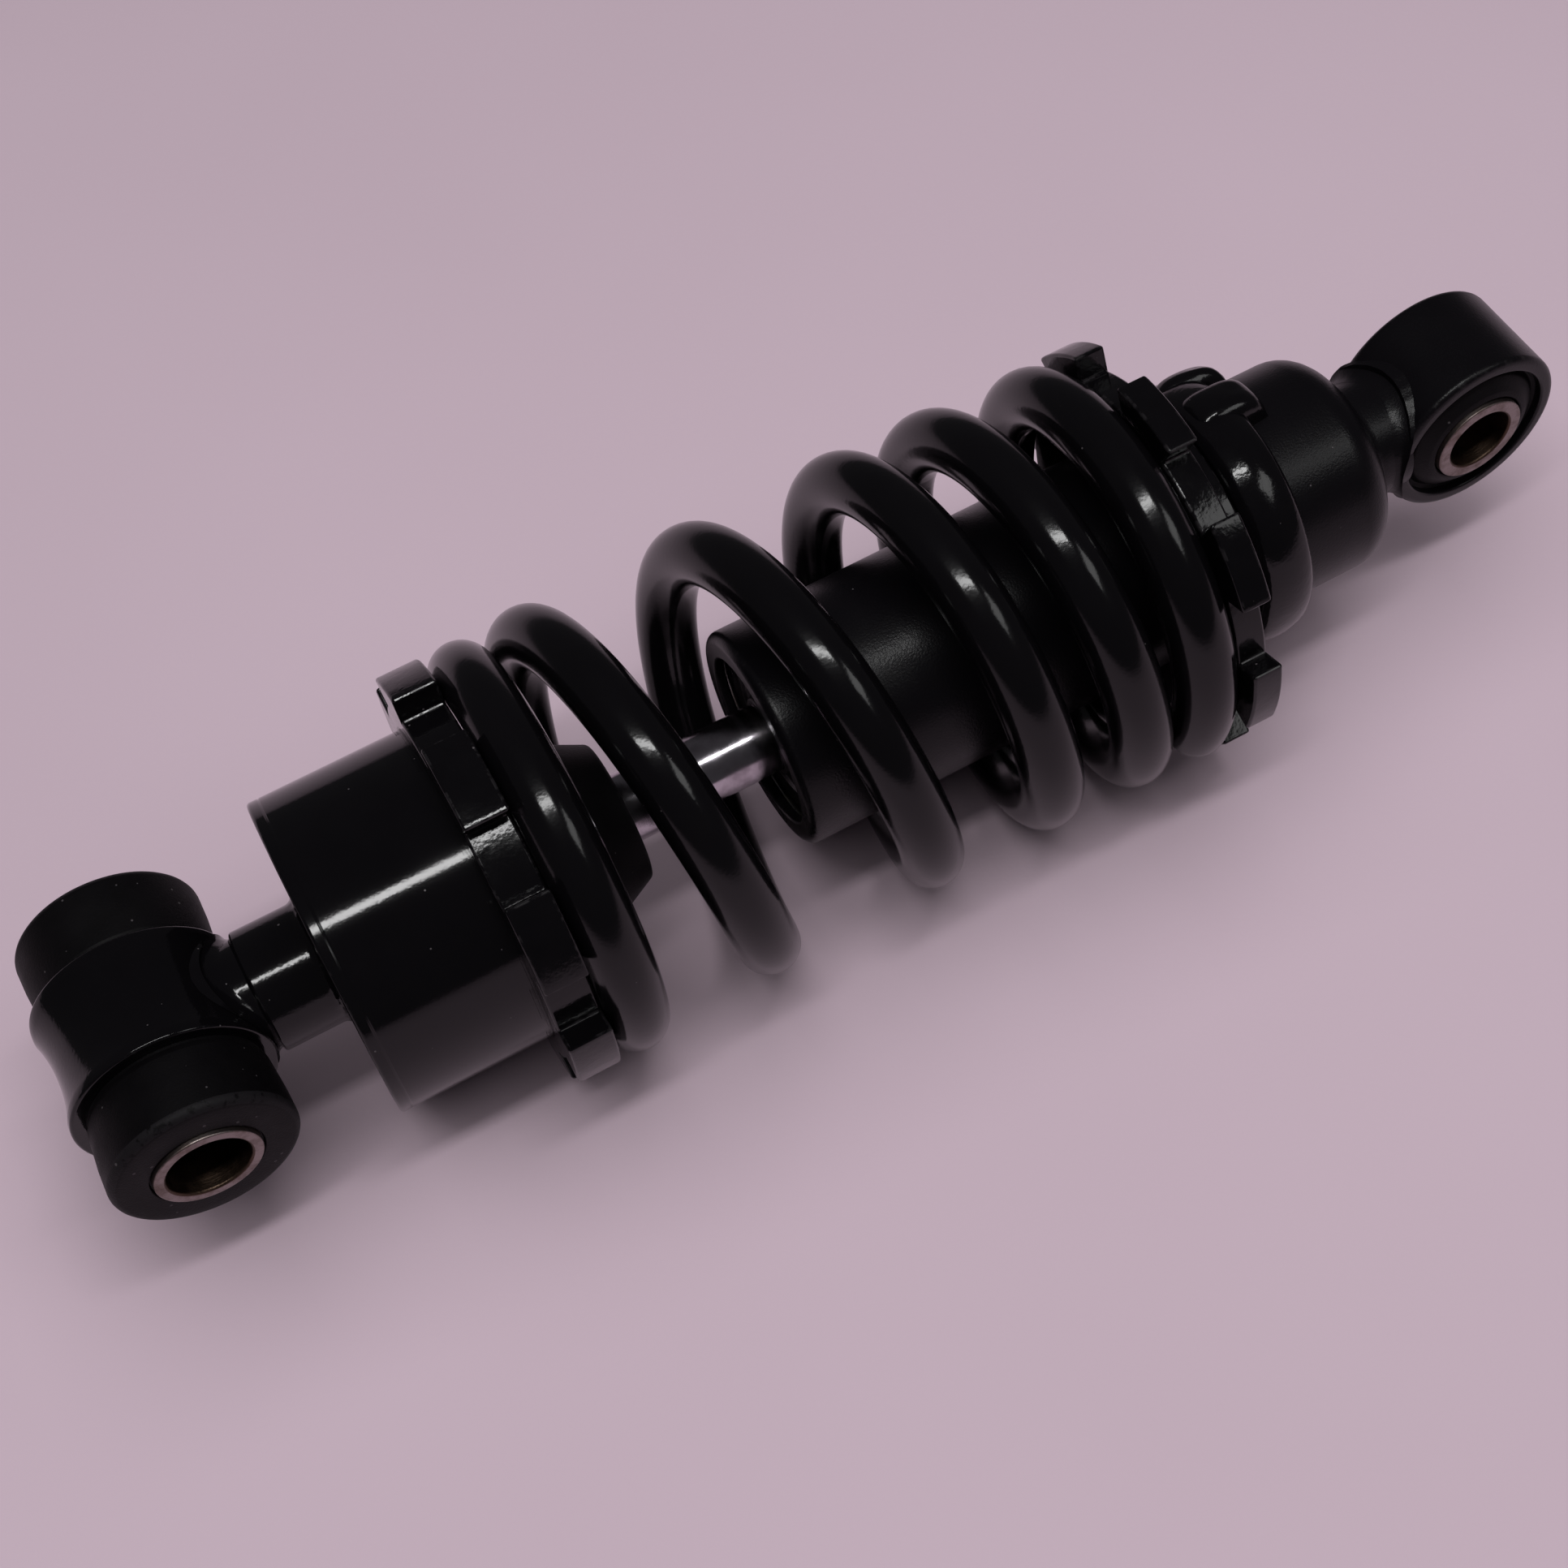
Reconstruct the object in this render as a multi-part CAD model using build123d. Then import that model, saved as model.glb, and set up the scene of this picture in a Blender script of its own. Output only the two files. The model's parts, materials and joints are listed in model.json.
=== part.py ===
from build123d import *
import math
import os

# Rear shock absorber, lying on its side. Millimetres.
# X runs along the shock, from the lower eye (origin) to the upper eye.
# Y is the direction of both eye bolts. Z is up.

os.makedirs("parts", exist_ok=True)

# ---- driving dimensions ----
eye_distance = 250.0          # bolt centre to bolt centre, fully extended
stroke = 34.0                 # rod travel from extended to full bump

# clearances
running_fit = 0.05            # radial, shaft in a bore that it turns or slides in
side_gap = 0.20               # between a moving face and its neighbour
seat_gap = 0.20               # between the end coils and their seats
band_gap = 0.10               # between the piston band and the walls of its groove

# lower eye
lower_bore_r = 7.0            # 14 mm bolt
lower_sleeve_r = 9.0
lower_sleeve_length = 50.0
lower_barrel_length = 21.0
lower_lip_r = 17.1
lower_waist_r = 15.9
lower_lip_width = 1.4
lower_barrel_bore_r = 13.6
lower_collar_r = 15.3
lower_collar_flare = 0.5
lower_collar_length = 48.6
collar_edge_r = 1.6

# upper eye
upper_bore_r = 6.1            # 12 mm bolt
upper_sleeve_r = 8.6
upper_sleeve_length = 23.0
upper_ring_width = 20.0
upper_ring_r = 16.8
upper_ring_bore_r = 14.0
upper_rubber_width = 17.0
upper_edge_r = 1.2

# stem, between the lower eye and the cup
stem_r = 10.3
stem_collar_step = 0.9        # how much thicker the stem is beside the barrel
stem_collar_end = 20.5
stem_bead_r = 1.6
saddle_gap = 0.3              # between the stem and the rubber collars beside it
stem_boss_length = 9.0        # how far the stem stands inside the cup

# spring cup
cup_start = 29.7
cup_r = 28.2
cup_wall = 2.0
cup_floor = 3.0
cup_edge = 0.6
cup_weld_leg = 2.4

# castellated rings, the same pattern at both ends of the spring
ring_root_wall = 3.8          # from the cup to the floor of a slot
ring_tooth = 5.5              # depth of the slots
ring_slots = 8
ring_slot_width = 13.2
ring_edge = 0.6
lower_ring_start = 57.2
lower_ring_width = 7.8
lower_ring_lip = 3.0
lower_ring_lip_reach = 5.7    # how far the lip reaches in past the outside of the cup
lower_ring_turn = 121.0       # angle of one slot from +Y towards +Z
upper_ring_from_end = 37.1    # from the tube's far end
upper_ring_thick = 5.6
upper_ring_turn = 114.6

# preload adjuster
washer_thick = 0.8
washer_inset = 1.0            # inside the floors of the slots
adjuster_sleeve_wall = 2.9
adjuster_sleeve_length = 5.6
preload_step = 2.0
preload_steps = 2
preload_step_angle = 30.0
cam_count = 2                 # how many times the steps repeat round the sleeve
nose_angle = 10.0
nose_margin = 1.0
nose_wall = 0.3               # radial gap between a nose and the tube
collar_gap = 0.6
collar_length = 10.2
collar_bulge = 4.5            # heights over the tube
collar_shoulder = 2.7
lug_height = 6.1
lug_overhang = 4.6
lug_edge = 1.0
big_lug_turn = 78.6
big_lug_angle = 27.0
small_lug_turn = 50.6
small_lug_angle = 15.0

# spring
wire_d = 10.6
coil_inset = 0.1              # coils inside the rings' outside
closed_gap = 0.4              # between an end turn and the coil beside it
wide_share = 0.685            # share of the open length that the wide coils take
wide_turns = 2.0
tight_turns = 1.5
end_turns = 0.5
coil_start_turn = 22.0
points_per_turn = 12

# damper tube
bump_free_travel = 26.2       # from the bump stop to the tube's mouth
neck_length = 5.7             # from the tube's far end to the upper eye's ring
tube_r = 19.9
tube_wall = 2.0
tube_lip = 4.5                # how far the rolled edge reaches in
tube_roll_r = 1.8
tube_shoulder_r = 7.0
neck_r = 9.4
neck_bead_r = 1.8

# rod and what it carries
rod_r = 6.2
rod_end_r = 5.0
rod_tail_depth = 20.0
rod_chamfer = 0.8
nut_across_flats = 19.0
nut_height = 6.0
bump_washer_thick = 1.5
bump_washer_margin = 1.0      # the washer's edge beyond the bump stop
bump_r = 15.5
bump_nose_r = 12.3
bump_length = 34.8
bump_nose_length = 6.6
rebound_bumper_length = 5.0
rebound_bumper_r = 10.5
piston_length = 12.0
piston_land_gap = 0.35        # radial, between the piston's lands and the bore
piston_port_r = 1.6
piston_port_circle = 11.5
piston_ports = 6
band_width = 7.0
band_thick = 1.6
shim_thick = 0.3
shim_radii = (15.0, 13.0, 11.0, 9.0)
piston_nut_flats = 14.0
piston_nut_height = 6.5
rod_tip = 2.0                 # thread left beyond the piston nut

# closure of the damper tube
recess_depth = 3.0
dust_cap_thick = 1.6
wiper_section = 3.4           # radial heights of what seals and guides the rod
wiper_lip = 1.2
oil_seal_length = 4.5
oil_seal_section = 5.3
head_length = 15.0
guide_bush_length = 8.0
guide_bush_wall = 1.4
o_ring_r = 1.1
snap_ring_wire_r = 0.9

# gas chamber
gas_length = 19.5             # from the floating piston to the tube's far end
floating_piston_length = 10.0
floating_piston_floor = 4.0
floating_piston_skirt = 3.0
floating_o_ring_r = 1.3

# ---- sizes that follow from the ones above ----
stem_collar_r = stem_r + stem_collar_step
ring_root_r = cup_r + ring_root_wall
ring_r = ring_root_r + ring_tooth
lower_ring_lip_r = cup_r - lower_ring_lip_reach
washer_r = ring_root_r - washer_inset
wire_r = wire_d / 2
coil_mean_r = ring_r - coil_inset - wire_r
closed_rise = wire_d + closed_gap
tube_bore_r = tube_r - tube_wall
tube_lip_r = tube_r - tube_lip
adjuster_sleeve_r = tube_r + adjuster_sleeve_wall
collar_r = tube_r + collar_bulge
collar_shoulder_r = tube_r + collar_shoulder
lug_r = tube_r + lug_height
bump_washer_r = bump_r + bump_washer_margin
dust_cap_hole_r = rod_r + wiper_section
oil_seal_r = rod_r + oil_seal_section
guide_bush_r = rod_r + guide_bush_wall
stem_end = cup_start + cup_floor + stem_boss_length
bump_start = stem_end + nut_height + bump_washer_thick
bump_end = bump_start + bump_length
tube_start = bump_end + bump_free_travel
tube_end = eye_distance - upper_ring_r - neck_length
upper_ring_end = tube_end - upper_ring_from_end
floating_piston_start = tube_end - gas_length - floating_piston_length
lower_ring_end = lower_ring_start + lower_ring_width
upper_ring_start = upper_ring_end - upper_ring_thick
washer_start = upper_ring_start - washer_thick
cup_end = lower_ring_end - lower_ring_lip - side_gap
sleeve_end = upper_ring_end + adjuster_sleeve_length
collar_start = sleeve_end + collar_gap
nose_gap = preload_step * (nose_angle + nose_margin) / preload_step_angle + side_gap
preload_travel = preload_step * preload_steps
head_start = tube_start + recess_depth + dust_cap_thick
head_end = head_start + head_length
piston_start = head_end + rebound_bumper_length + side_gap + shim_thick * len(shim_radii)
piston_end = piston_start + piston_length
piston_nut_start = piston_end + shim_thick * len(shim_radii)
rod_end = piston_nut_start + piston_nut_height + rod_tip
rod_shoulder = head_end + side_gap + rebound_bumper_length


def save(name, *solids):
    """Write one node from one or more solids."""
    shapes = [solid for item in solids for solid in item.solids()]
    node = shapes[0] if len(shapes) == 1 else Compound(children=shapes)
    export_step(node, f"parts/{name}.step")


def turned(*points):
    """Solid of revolution about X from (x, radius) points."""
    outline = make_face(Polyline(*points, close=True))
    return revolve(outline, Axis.X)


def tube(start, end, outer_r, inner_r):
    """Plain ring about X."""
    return turned((start, inner_r), (end, inner_r), (end, outer_r), (start, outer_r))


def bar(start, end, radius):
    """Round bar about X."""
    return Pos((start + end) / 2, 0, 0) * Rot(0, 90, 0) * Cylinder(radius, end - start)


def cross_turned(centre_x, *points):
    """Solid of revolution about the bolt axis at centre_x, from (y, radius) points."""
    outline = make_face(Polyline(*[(centre_x + radius, y) for y, radius in points], close=True))
    return revolve(outline, Axis((centre_x, 0, 0), (0, 1, 0)))


def cross_tube(centre_x, half_width, outer_r, inner_r):
    """Plain ring about the bolt axis at centre_x."""
    return cross_turned(
        centre_x,
        (-half_width, inner_r), (half_width, inner_r),
        (half_width, outer_r), (-half_width, outer_r))


def round_ends(solid, centre_x, radius, size, axis):
    """Round the circular edges of the given radius about an eye's bolt axis or about X."""
    edges = [
        edge for edge in solid.edges().filter_by(GeomType.CIRCLE)
        if abs(edge.radius - radius) < 0.01 and edge_is_about(edge, centre_x, axis)]
    return fillet(edges, size)


def edge_is_about(edge, centre_x, axis):
    """True for a circle whose centre lies on the bolt axis (Y) or on the shock's axis (X)."""
    centre = edge.arc_center
    if axis == "Y":
        return abs(centre.X - centre_x) < 0.01 and abs(centre.Z) < 0.01
    return abs(centre.Y) < 0.01 and abs(centre.Z) < 0.01


def torus(x, ring_radius, wire_radius):
    """Round-section ring about X."""
    return Pos(x, 0, 0) * Rot(0, 90, 0) * Torus(ring_radius, wire_radius)


def hexagon(start, height, across_flats, bore_r):
    """Hexagon nut about X."""
    prism = extrude(Plane.YZ * RegularPolygon(across_flats / 2, 6, major_radius=False), height)
    return Pos(start, 0, 0) * prism - bar(start - 1, start + height + 1, bore_r)


def sector(start, end, outer_r, inner_r, middle, width):
    """Part of a ring about X, width degrees wide and centred on the angle middle."""
    outline = make_face(Polyline(
        (start, inner_r), (end, inner_r), (end, outer_r), (start, outer_r), close=True))
    return Rot(middle - width / 2, 0, 0) * revolve(outline, Axis.X, width)


def castellated(ring, start, width, first_slot):
    """Cut the hook-spanner slots into a ring about X."""
    depth = ring_r - ring_root_r + 2
    slot = Pos(start + width / 2, ring_root_r + depth / 2, 0) * Box(width + 2, depth, ring_slot_width)
    slots = [Rot(first_slot + 360 / ring_slots * k, 0, 0) * slot for k in range(ring_slots)]
    return ring - slots


# ---- lower eye ----
def whole_barrel():
    """Waisted barrel with a lip at each end, before the stem is let in."""
    half = lower_barrel_length / 2
    waist = half - lower_lip_width
    lips = cross_tube(0, half, lower_lip_r, lower_barrel_bore_r)
    hollow = make_face(
        Polyline((lower_lip_r, waist), (lower_lip_r + 3, waist), (lower_lip_r + 3, -waist),
                 (lower_lip_r, -waist))
        + ThreePointArc((lower_lip_r, -waist), (lower_waist_r, 0), (lower_lip_r, waist)))
    return lips - revolve(hollow, Axis.Y)


def lower_eye():
    save("lower_eye_barrel", whole_barrel() - (bar(0, stem_collar_end, stem_collar_r) - saddle()))

    half = lower_barrel_length / 2
    end = lower_collar_length / 2
    rubber = cross_turned(
        0,
        (-end, lower_sleeve_r + running_fit), (end, lower_sleeve_r + running_fit),
        (end, lower_collar_r + lower_collar_flare), (half, lower_collar_r),
        (half, lower_barrel_bore_r), (-half, lower_barrel_bore_r),
        (-half, lower_collar_r), (-end, lower_collar_r + lower_collar_flare))
    rubber = round_ends(rubber, 0, lower_collar_r + lower_collar_flare, collar_edge_r, "Y")
    save("lower_eye_rubber", rubber)

    save("lower_eye_sleeve", sleeve(0, lower_sleeve_length, lower_sleeve_r, lower_bore_r))


def sleeve(centre_x, length, outer_r, bore_r):
    """Steel bush that the eye bolt passes through, with broken edges."""
    solid = cross_tube(centre_x, length / 2, outer_r, bore_r)
    edges = solid.edges().filter_by(GeomType.CIRCLE)
    return chamfer(edges, 0.4)


def saddle():
    """Round body that the stem's end is hollowed to fit, clear of the rubber collars."""
    radius = lower_collar_r + saddle_gap
    return Rot(90, 0, 0) * Cylinder(radius, lower_collar_length)


# ---- stem, cup and what stands in the cup ----
def stem_and_cup():
    stem = bar(0, stem_collar_end, stem_collar_r)
    stem = chamfer(stem.edges().filter_by(GeomType.CIRCLE).sort_by(Axis.X)[-1], 0.5)
    stem += bar(0, stem_end, stem_r)
    stem -= bar(stem_end - rod_tail_depth, stem_end + 1, rod_end_r)
    stem -= saddle()
    save("lower_stem", stem)

    bead = bar(0, stem_collar_end, stem_collar_r + stem_bead_r)
    bead &= Rot(90, 0, 0) * Cylinder(lower_lip_r + stem_bead_r, lower_sleeve_length)
    bead -= bar(0, stem_collar_end, stem_collar_r)
    bead -= saddle()
    save("stem_weld", bead - whole_barrel())

    cup = turned(
        (cup_start, stem_r), (cup_start, cup_r - cup_edge), (cup_start + cup_edge, cup_r),
        (cup_end, cup_r), (cup_end, cup_r - cup_wall),
        (cup_start + cup_floor, cup_r - cup_wall), (cup_start + cup_floor, stem_r))
    save("spring_cup", cup)

    weld = turned(
        (cup_start, stem_r), (cup_start, stem_r + cup_weld_leg), (cup_start - cup_weld_leg, stem_r))
    save("cup_weld", weld)

    save("lock_nut", hexagon(stem_end, nut_height, nut_across_flats, rod_end_r))
    washer_at = stem_end + nut_height
    save("bump_washer", tube(washer_at, washer_at + bump_washer_thick, bump_washer_r, rod_r))

    bump = turned(
        (bump_start, rod_r), (bump_start, bump_r), (bump_end - bump_nose_length, bump_r),
        (bump_end, bump_nose_r), (bump_end, rod_r))
    save("bump_stop", bump)


# ---- rod and piston ----
def rod_and_piston():
    rod = bar(stem_end + nut_height, rod_shoulder, rod_r)
    rod += bar(stem_end - rod_tail_depth, rod_end, rod_end_r)
    save("piston_rod", chamfer(rod.edges().filter_by(GeomType.CIRCLE).sort_by(Axis.X)[-1], rod_chamfer))

    bumper = tube(head_end + side_gap, rod_shoulder, rebound_bumper_r, rod_r)
    save("rebound_bumper", bumper)

    land_r = tube_bore_r - piston_land_gap
    band_middle = (piston_start + piston_end) / 2
    groove = band_width / 2 + band_gap
    piston = tube(piston_start, piston_end, land_r, rod_end_r)
    piston -= tube(
        band_middle - groove, band_middle + groove, tube_bore_r + 1,
        tube_bore_r - running_fit - band_thick - running_fit)
    port = Pos(0, piston_port_circle, 0) * bar(piston_start - 1, piston_end + 1, piston_port_r)
    piston -= [Rot(360 / piston_ports * k, 0, 0) * port for k in range(piston_ports)]
    save("piston", piston)

    band_outer = tube_bore_r - running_fit
    band = tube(band_middle - band_width / 2, band_middle + band_width / 2, band_outer, band_outer - band_thick)
    save("piston_band", band)

    rebound = [
        tube(piston_start - shim_thick * (k + 1), piston_start - shim_thick * k, r, rod_end_r)
        for k, r in enumerate(shim_radii)]
    compression = [
        tube(piston_end + shim_thick * k, piston_end + shim_thick * (k + 1), r, rod_end_r)
        for k, r in enumerate(shim_radii)]
    save("rebound_shims", *rebound)
    save("compression_shims", *compression)
    save("piston_nut", hexagon(piston_nut_start, piston_nut_height, piston_nut_flats, rod_end_r))


# ---- damper tube and its closure ----
def damper_tube():
    outer = turned((tube_start, 0), (tube_end, 0), (tube_end, tube_r), (tube_start, tube_r))
    ends = outer.edges().filter_by(GeomType.CIRCLE).sort_by(Axis.X)
    outer = fillet(ends[-1], tube_shoulder_r)
    ends = outer.edges().filter_by(GeomType.CIRCLE).sort_by(Axis.X)
    outer = fillet(ends[0], tube_roll_r)
    inner_end = tube_end - tube_wall * 2
    inner = bar(tube_start + tube_wall, inner_end, tube_bore_r)
    ends = inner.edges().filter_by(GeomType.CIRCLE).sort_by(Axis.X)
    inner = fillet(ends[-1], tube_shoulder_r - tube_wall)
    shell = outer - inner - bar(tube_start - 1, tube_start + tube_wall + 1, tube_lip_r)
    save("damper_tube", shell)

    cap_start = tube_start + recess_depth
    snap_x = tube_start + tube_wall + snap_ring_wire_r / 2
    snap = torus(snap_x, tube_bore_r - snap_ring_wire_r, snap_ring_wire_r / 2)
    save("snap_ring", snap)
    cap = tube(cap_start, cap_start + dust_cap_thick, tube_bore_r, dust_cap_hole_r)
    save("dust_cap", cap)
    wiper = turned(
        (cap_start - wiper_lip, rod_r + running_fit), (head_start, rod_r + running_fit),
        (head_start, dust_cap_hole_r), (cap_start, dust_cap_hole_r),
        (cap_start - wiper_lip, rod_r + running_fit + 1.0))
    save("wiper_seal", wiper)

    seal_end = head_start + oil_seal_length
    save("oil_seal", tube(head_start, seal_end, oil_seal_r, rod_r + running_fit))
    bush_start = head_end - guide_bush_length
    save("guide_bush", tube(bush_start, head_end, guide_bush_r, rod_r + running_fit))

    o_ring_x = (head_start + head_end) / 2
    head = turned(
        (head_start, oil_seal_r), (head_start, tube_bore_r), (head_end, tube_bore_r),
        (head_end, guide_bush_r), (bush_start, guide_bush_r),
        (bush_start, rod_r + 0.4), (seal_end, rod_r + 0.4), (seal_end, oil_seal_r))
    head -= tube(o_ring_x - o_ring_r, o_ring_x + o_ring_r, tube_bore_r + 1, tube_bore_r - 2 * o_ring_r)
    save("seal_head", head)
    save("head_o_ring", torus(o_ring_x, tube_bore_r - o_ring_r, o_ring_r))


def gas_piston():
    start = floating_piston_start
    end = start + floating_piston_length
    outer = tube_bore_r - running_fit
    inner = outer - floating_piston_skirt
    groove_x = start + floating_piston_floor / 2 + floating_piston_length / 2
    piston = turned(
        (start, 0), (start, outer), (end, outer), (end, inner),
        (start + floating_piston_floor, inner), (start + floating_piston_floor, 0))
    ring = floating_o_ring_r
    piston -= tube(groove_x - ring, groove_x + ring, outer + 1, outer - 2 * ring + running_fit)
    save("floating_piston", piston)
    save("floating_o_ring", torus(groove_x, outer - ring, ring - running_fit))


# ---- upper eye ----
def upper_eye():
    ring = cross_tube(eye_distance, upper_ring_width / 2, upper_ring_r, upper_ring_bore_r)
    ring = round_ends(ring, eye_distance, upper_ring_r, upper_edge_r, "Y")
    save("upper_eye_ring", ring)

    neck = bar(tube_end, eye_distance - upper_ring_bore_r, neck_r)
    neck -= cross_tube(eye_distance, upper_ring_width, upper_ring_r, 0.01)
    save("upper_neck", neck)

    bead = torus(tube_end, neck_r, neck_bead_r)
    bead -= bar(tube_end - 5, tube_end, tube_r)
    bead -= bar(tube_end - 5, tube_end + 5, neck_r)
    save("neck_weld", bead)

    save("upper_eye_rubber", cross_tube(
        eye_distance, upper_rubber_width / 2, upper_ring_bore_r, upper_sleeve_r + running_fit))
    save("upper_eye_sleeve", sleeve(eye_distance, upper_sleeve_length, upper_sleeve_r, upper_bore_r))


# ---- spring seats and preload adjuster ----
def lower_ring():
    bore = cup_r + running_fit
    ring = turned(
        (lower_ring_start, bore), (lower_ring_start, ring_r - ring_edge),
        (lower_ring_start + ring_edge, ring_r), (lower_ring_end - ring_edge, ring_r),
        (lower_ring_end, ring_r - ring_edge), (lower_ring_end, lower_ring_lip_r),
        (lower_ring_end - lower_ring_lip, lower_ring_lip_r), (lower_ring_end - lower_ring_lip, bore))
    save("lower_ring", castellated(ring, lower_ring_start, lower_ring_width, lower_ring_turn))


def adjuster():
    bore = tube_r + running_fit
    ring = turned(
        (upper_ring_start, bore), (upper_ring_start, ring_r - ring_edge),
        (upper_ring_start + ring_edge, ring_r), (upper_ring_end - ring_edge, ring_r),
        (upper_ring_end, ring_r - ring_edge), (upper_ring_end, adjuster_sleeve_r),
        (sleeve_end, adjuster_sleeve_r), (sleeve_end, bore))
    ring = castellated(ring, upper_ring_start, upper_ring_thick, upper_ring_turn)
    first_edge = big_lug_turn + nose_angle / 2 + nose_margin
    for k in range(preload_steps):
        depth = preload_step * (preload_steps - k)
        middle = first_edge - preload_step_angle * (k + 0.5)
        notch = sector(
            sleeve_end - depth, sleeve_end + 1, adjuster_sleeve_r + 1, bore - 1,
            middle, preload_step_angle)
        ring -= [Rot(360 / cam_count * n, 0, 0) * notch for n in range(cam_count)]
    save("adjuster_ring", ring)

    save("slip_washer", tube(washer_start, upper_ring_start, washer_r, bore))


def cam_collar():
    end = collar_start + collar_length
    middle = (collar_start + end) / 2
    outline = make_face(
        Polyline((end, collar_shoulder_r), (end, tube_r), (collar_start, tube_r),
                 (collar_start, collar_shoulder_r))
        + ThreePointArc((collar_start, collar_shoulder_r), (middle, collar_r), (end, collar_shoulder_r)))
    collar = revolve(outline, Axis.X)
    for turn, width in ((big_lug_turn, big_lug_angle), (small_lug_turn, small_lug_angle)):
        lug = sector(collar_start, end + lug_overhang, lug_r, tube_r, turn, width)
        outer = [e for e in lug.edges() if e.center().X > end + lug_overhang - 0.1]
        lug = fillet(outer, lug_edge)
        collar += [Rot(360 / cam_count * n, 0, 0) * lug for n in range(cam_count)]
    tip = sleeve_end - preload_travel + nose_gap
    nose = sector(tip, collar_start + 1, adjuster_sleeve_r, tube_r + nose_wall, big_lug_turn, nose_angle)
    collar += [Rot(360 / cam_count * n, 0, 0) * nose for n in range(cam_count)]
    save("cam_collar", collar)


# ---- coil spring ----
def coil_stations():
    """(turn, x) of the wire's centre where the pitch changes."""
    first = lower_ring_end + seat_gap + wire_r
    last = washer_start - seat_gap - wire_r
    open_length = last - first - 2 * closed_rise
    turns = [0, end_turns]
    places = [first, first]
    turns.append(turns[-1] + 0.5)
    places.append(first + closed_rise)
    turns.append(turns[-1] + wide_turns)
    places.append(places[-1] + wide_share * open_length)
    turns.append(turns[-1] + tight_turns)
    places.append(last - closed_rise)
    turns += [turns[-1] + 0.5, turns[-1] + 0.5 + end_turns]
    places += [last, last]
    return turns, places


def station_slopes(turns, places):
    """Slope at each station that keeps the wire's advance smooth and never backwards."""
    rises = [(b - a) / (v - u) for u, v, a, b in zip(turns, turns[1:], places, places[1:])]
    inner = [2 * a * b / (a + b) if a * b > 0 else 0.0 for a, b in zip(rises, rises[1:])]
    return [0.0] + inner + [0.0]


def coil_x(turn, turns, places, slopes):
    """Place of the wire's centre along the shock after so many turns."""
    k = max(i for i in range(len(turns) - 1) if turn >= turns[i] or i == 0)
    span = turns[k + 1] - turns[k]
    u = (turn - turns[k]) / span
    return (
        (2 * u**3 - 3 * u**2 + 1) * places[k] + (u**3 - 2 * u**2 + u) * span * slopes[k]
        + (3 * u**2 - 2 * u**3) * places[k + 1] + (u**3 - u**2) * span * slopes[k + 1])


def spring():
    turns, places = coil_stations()
    slopes = station_slopes(turns, places)
    count = round(turns[-1] * points_per_turn)
    points = []
    for k in range(count + 1):
        turn = turns[-1] * k / count
        angle = math.radians(coil_start_turn + 360 * turn)
        x = coil_x(turn, turns, places, slopes)
        points.append(Vector(x, coil_mean_r * math.cos(angle), coil_mean_r * math.sin(angle)))
    path = Spline(*points)
    section = Plane(origin=path @ 0, z_dir=path % 0) * Circle(wire_r)
    save("coil_spring", sweep(section, path=path, is_frenet=True))


lower_eye()
stem_and_cup()
rod_and_piston()
damper_tube()
gas_piston()
upper_eye()
lower_ring()
adjuster()
cam_collar()
spring()
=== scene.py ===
import json
import math

import bmesh
import bpy
from mathutils import Matrix, Vector, noise
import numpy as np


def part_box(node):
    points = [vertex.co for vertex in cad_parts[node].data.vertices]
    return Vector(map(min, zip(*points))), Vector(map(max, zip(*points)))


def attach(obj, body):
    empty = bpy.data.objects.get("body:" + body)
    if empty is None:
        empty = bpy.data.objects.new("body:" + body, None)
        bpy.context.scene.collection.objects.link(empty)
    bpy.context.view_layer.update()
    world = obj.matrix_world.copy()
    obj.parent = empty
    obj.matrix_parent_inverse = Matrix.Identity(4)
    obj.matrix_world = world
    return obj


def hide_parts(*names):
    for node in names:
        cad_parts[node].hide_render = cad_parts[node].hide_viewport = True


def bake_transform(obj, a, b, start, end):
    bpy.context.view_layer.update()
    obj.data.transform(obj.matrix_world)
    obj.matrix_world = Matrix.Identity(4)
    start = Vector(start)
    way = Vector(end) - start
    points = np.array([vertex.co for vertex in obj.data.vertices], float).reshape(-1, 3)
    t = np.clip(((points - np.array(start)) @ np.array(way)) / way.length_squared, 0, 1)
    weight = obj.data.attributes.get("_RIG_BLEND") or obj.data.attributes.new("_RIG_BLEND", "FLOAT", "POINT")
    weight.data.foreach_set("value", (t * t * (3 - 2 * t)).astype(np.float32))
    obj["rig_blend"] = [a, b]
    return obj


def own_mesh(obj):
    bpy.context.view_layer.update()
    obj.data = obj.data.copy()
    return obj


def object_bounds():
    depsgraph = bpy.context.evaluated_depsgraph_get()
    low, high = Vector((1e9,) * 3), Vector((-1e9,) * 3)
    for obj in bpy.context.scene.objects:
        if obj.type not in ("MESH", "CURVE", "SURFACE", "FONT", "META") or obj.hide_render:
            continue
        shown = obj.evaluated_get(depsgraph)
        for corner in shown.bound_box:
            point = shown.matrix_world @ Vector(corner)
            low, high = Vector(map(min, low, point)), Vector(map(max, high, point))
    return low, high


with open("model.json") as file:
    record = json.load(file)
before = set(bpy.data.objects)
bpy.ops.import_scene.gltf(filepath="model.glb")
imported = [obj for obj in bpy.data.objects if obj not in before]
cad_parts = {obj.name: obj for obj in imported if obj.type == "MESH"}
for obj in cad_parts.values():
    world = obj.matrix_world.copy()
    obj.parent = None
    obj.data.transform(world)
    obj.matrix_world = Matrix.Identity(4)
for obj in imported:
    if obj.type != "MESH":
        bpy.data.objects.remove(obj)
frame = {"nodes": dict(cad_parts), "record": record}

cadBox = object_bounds()
record = frame["record"]
mm = 0.001
print("frame loaded:", len(frame["nodes"]), "nodes")

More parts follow.
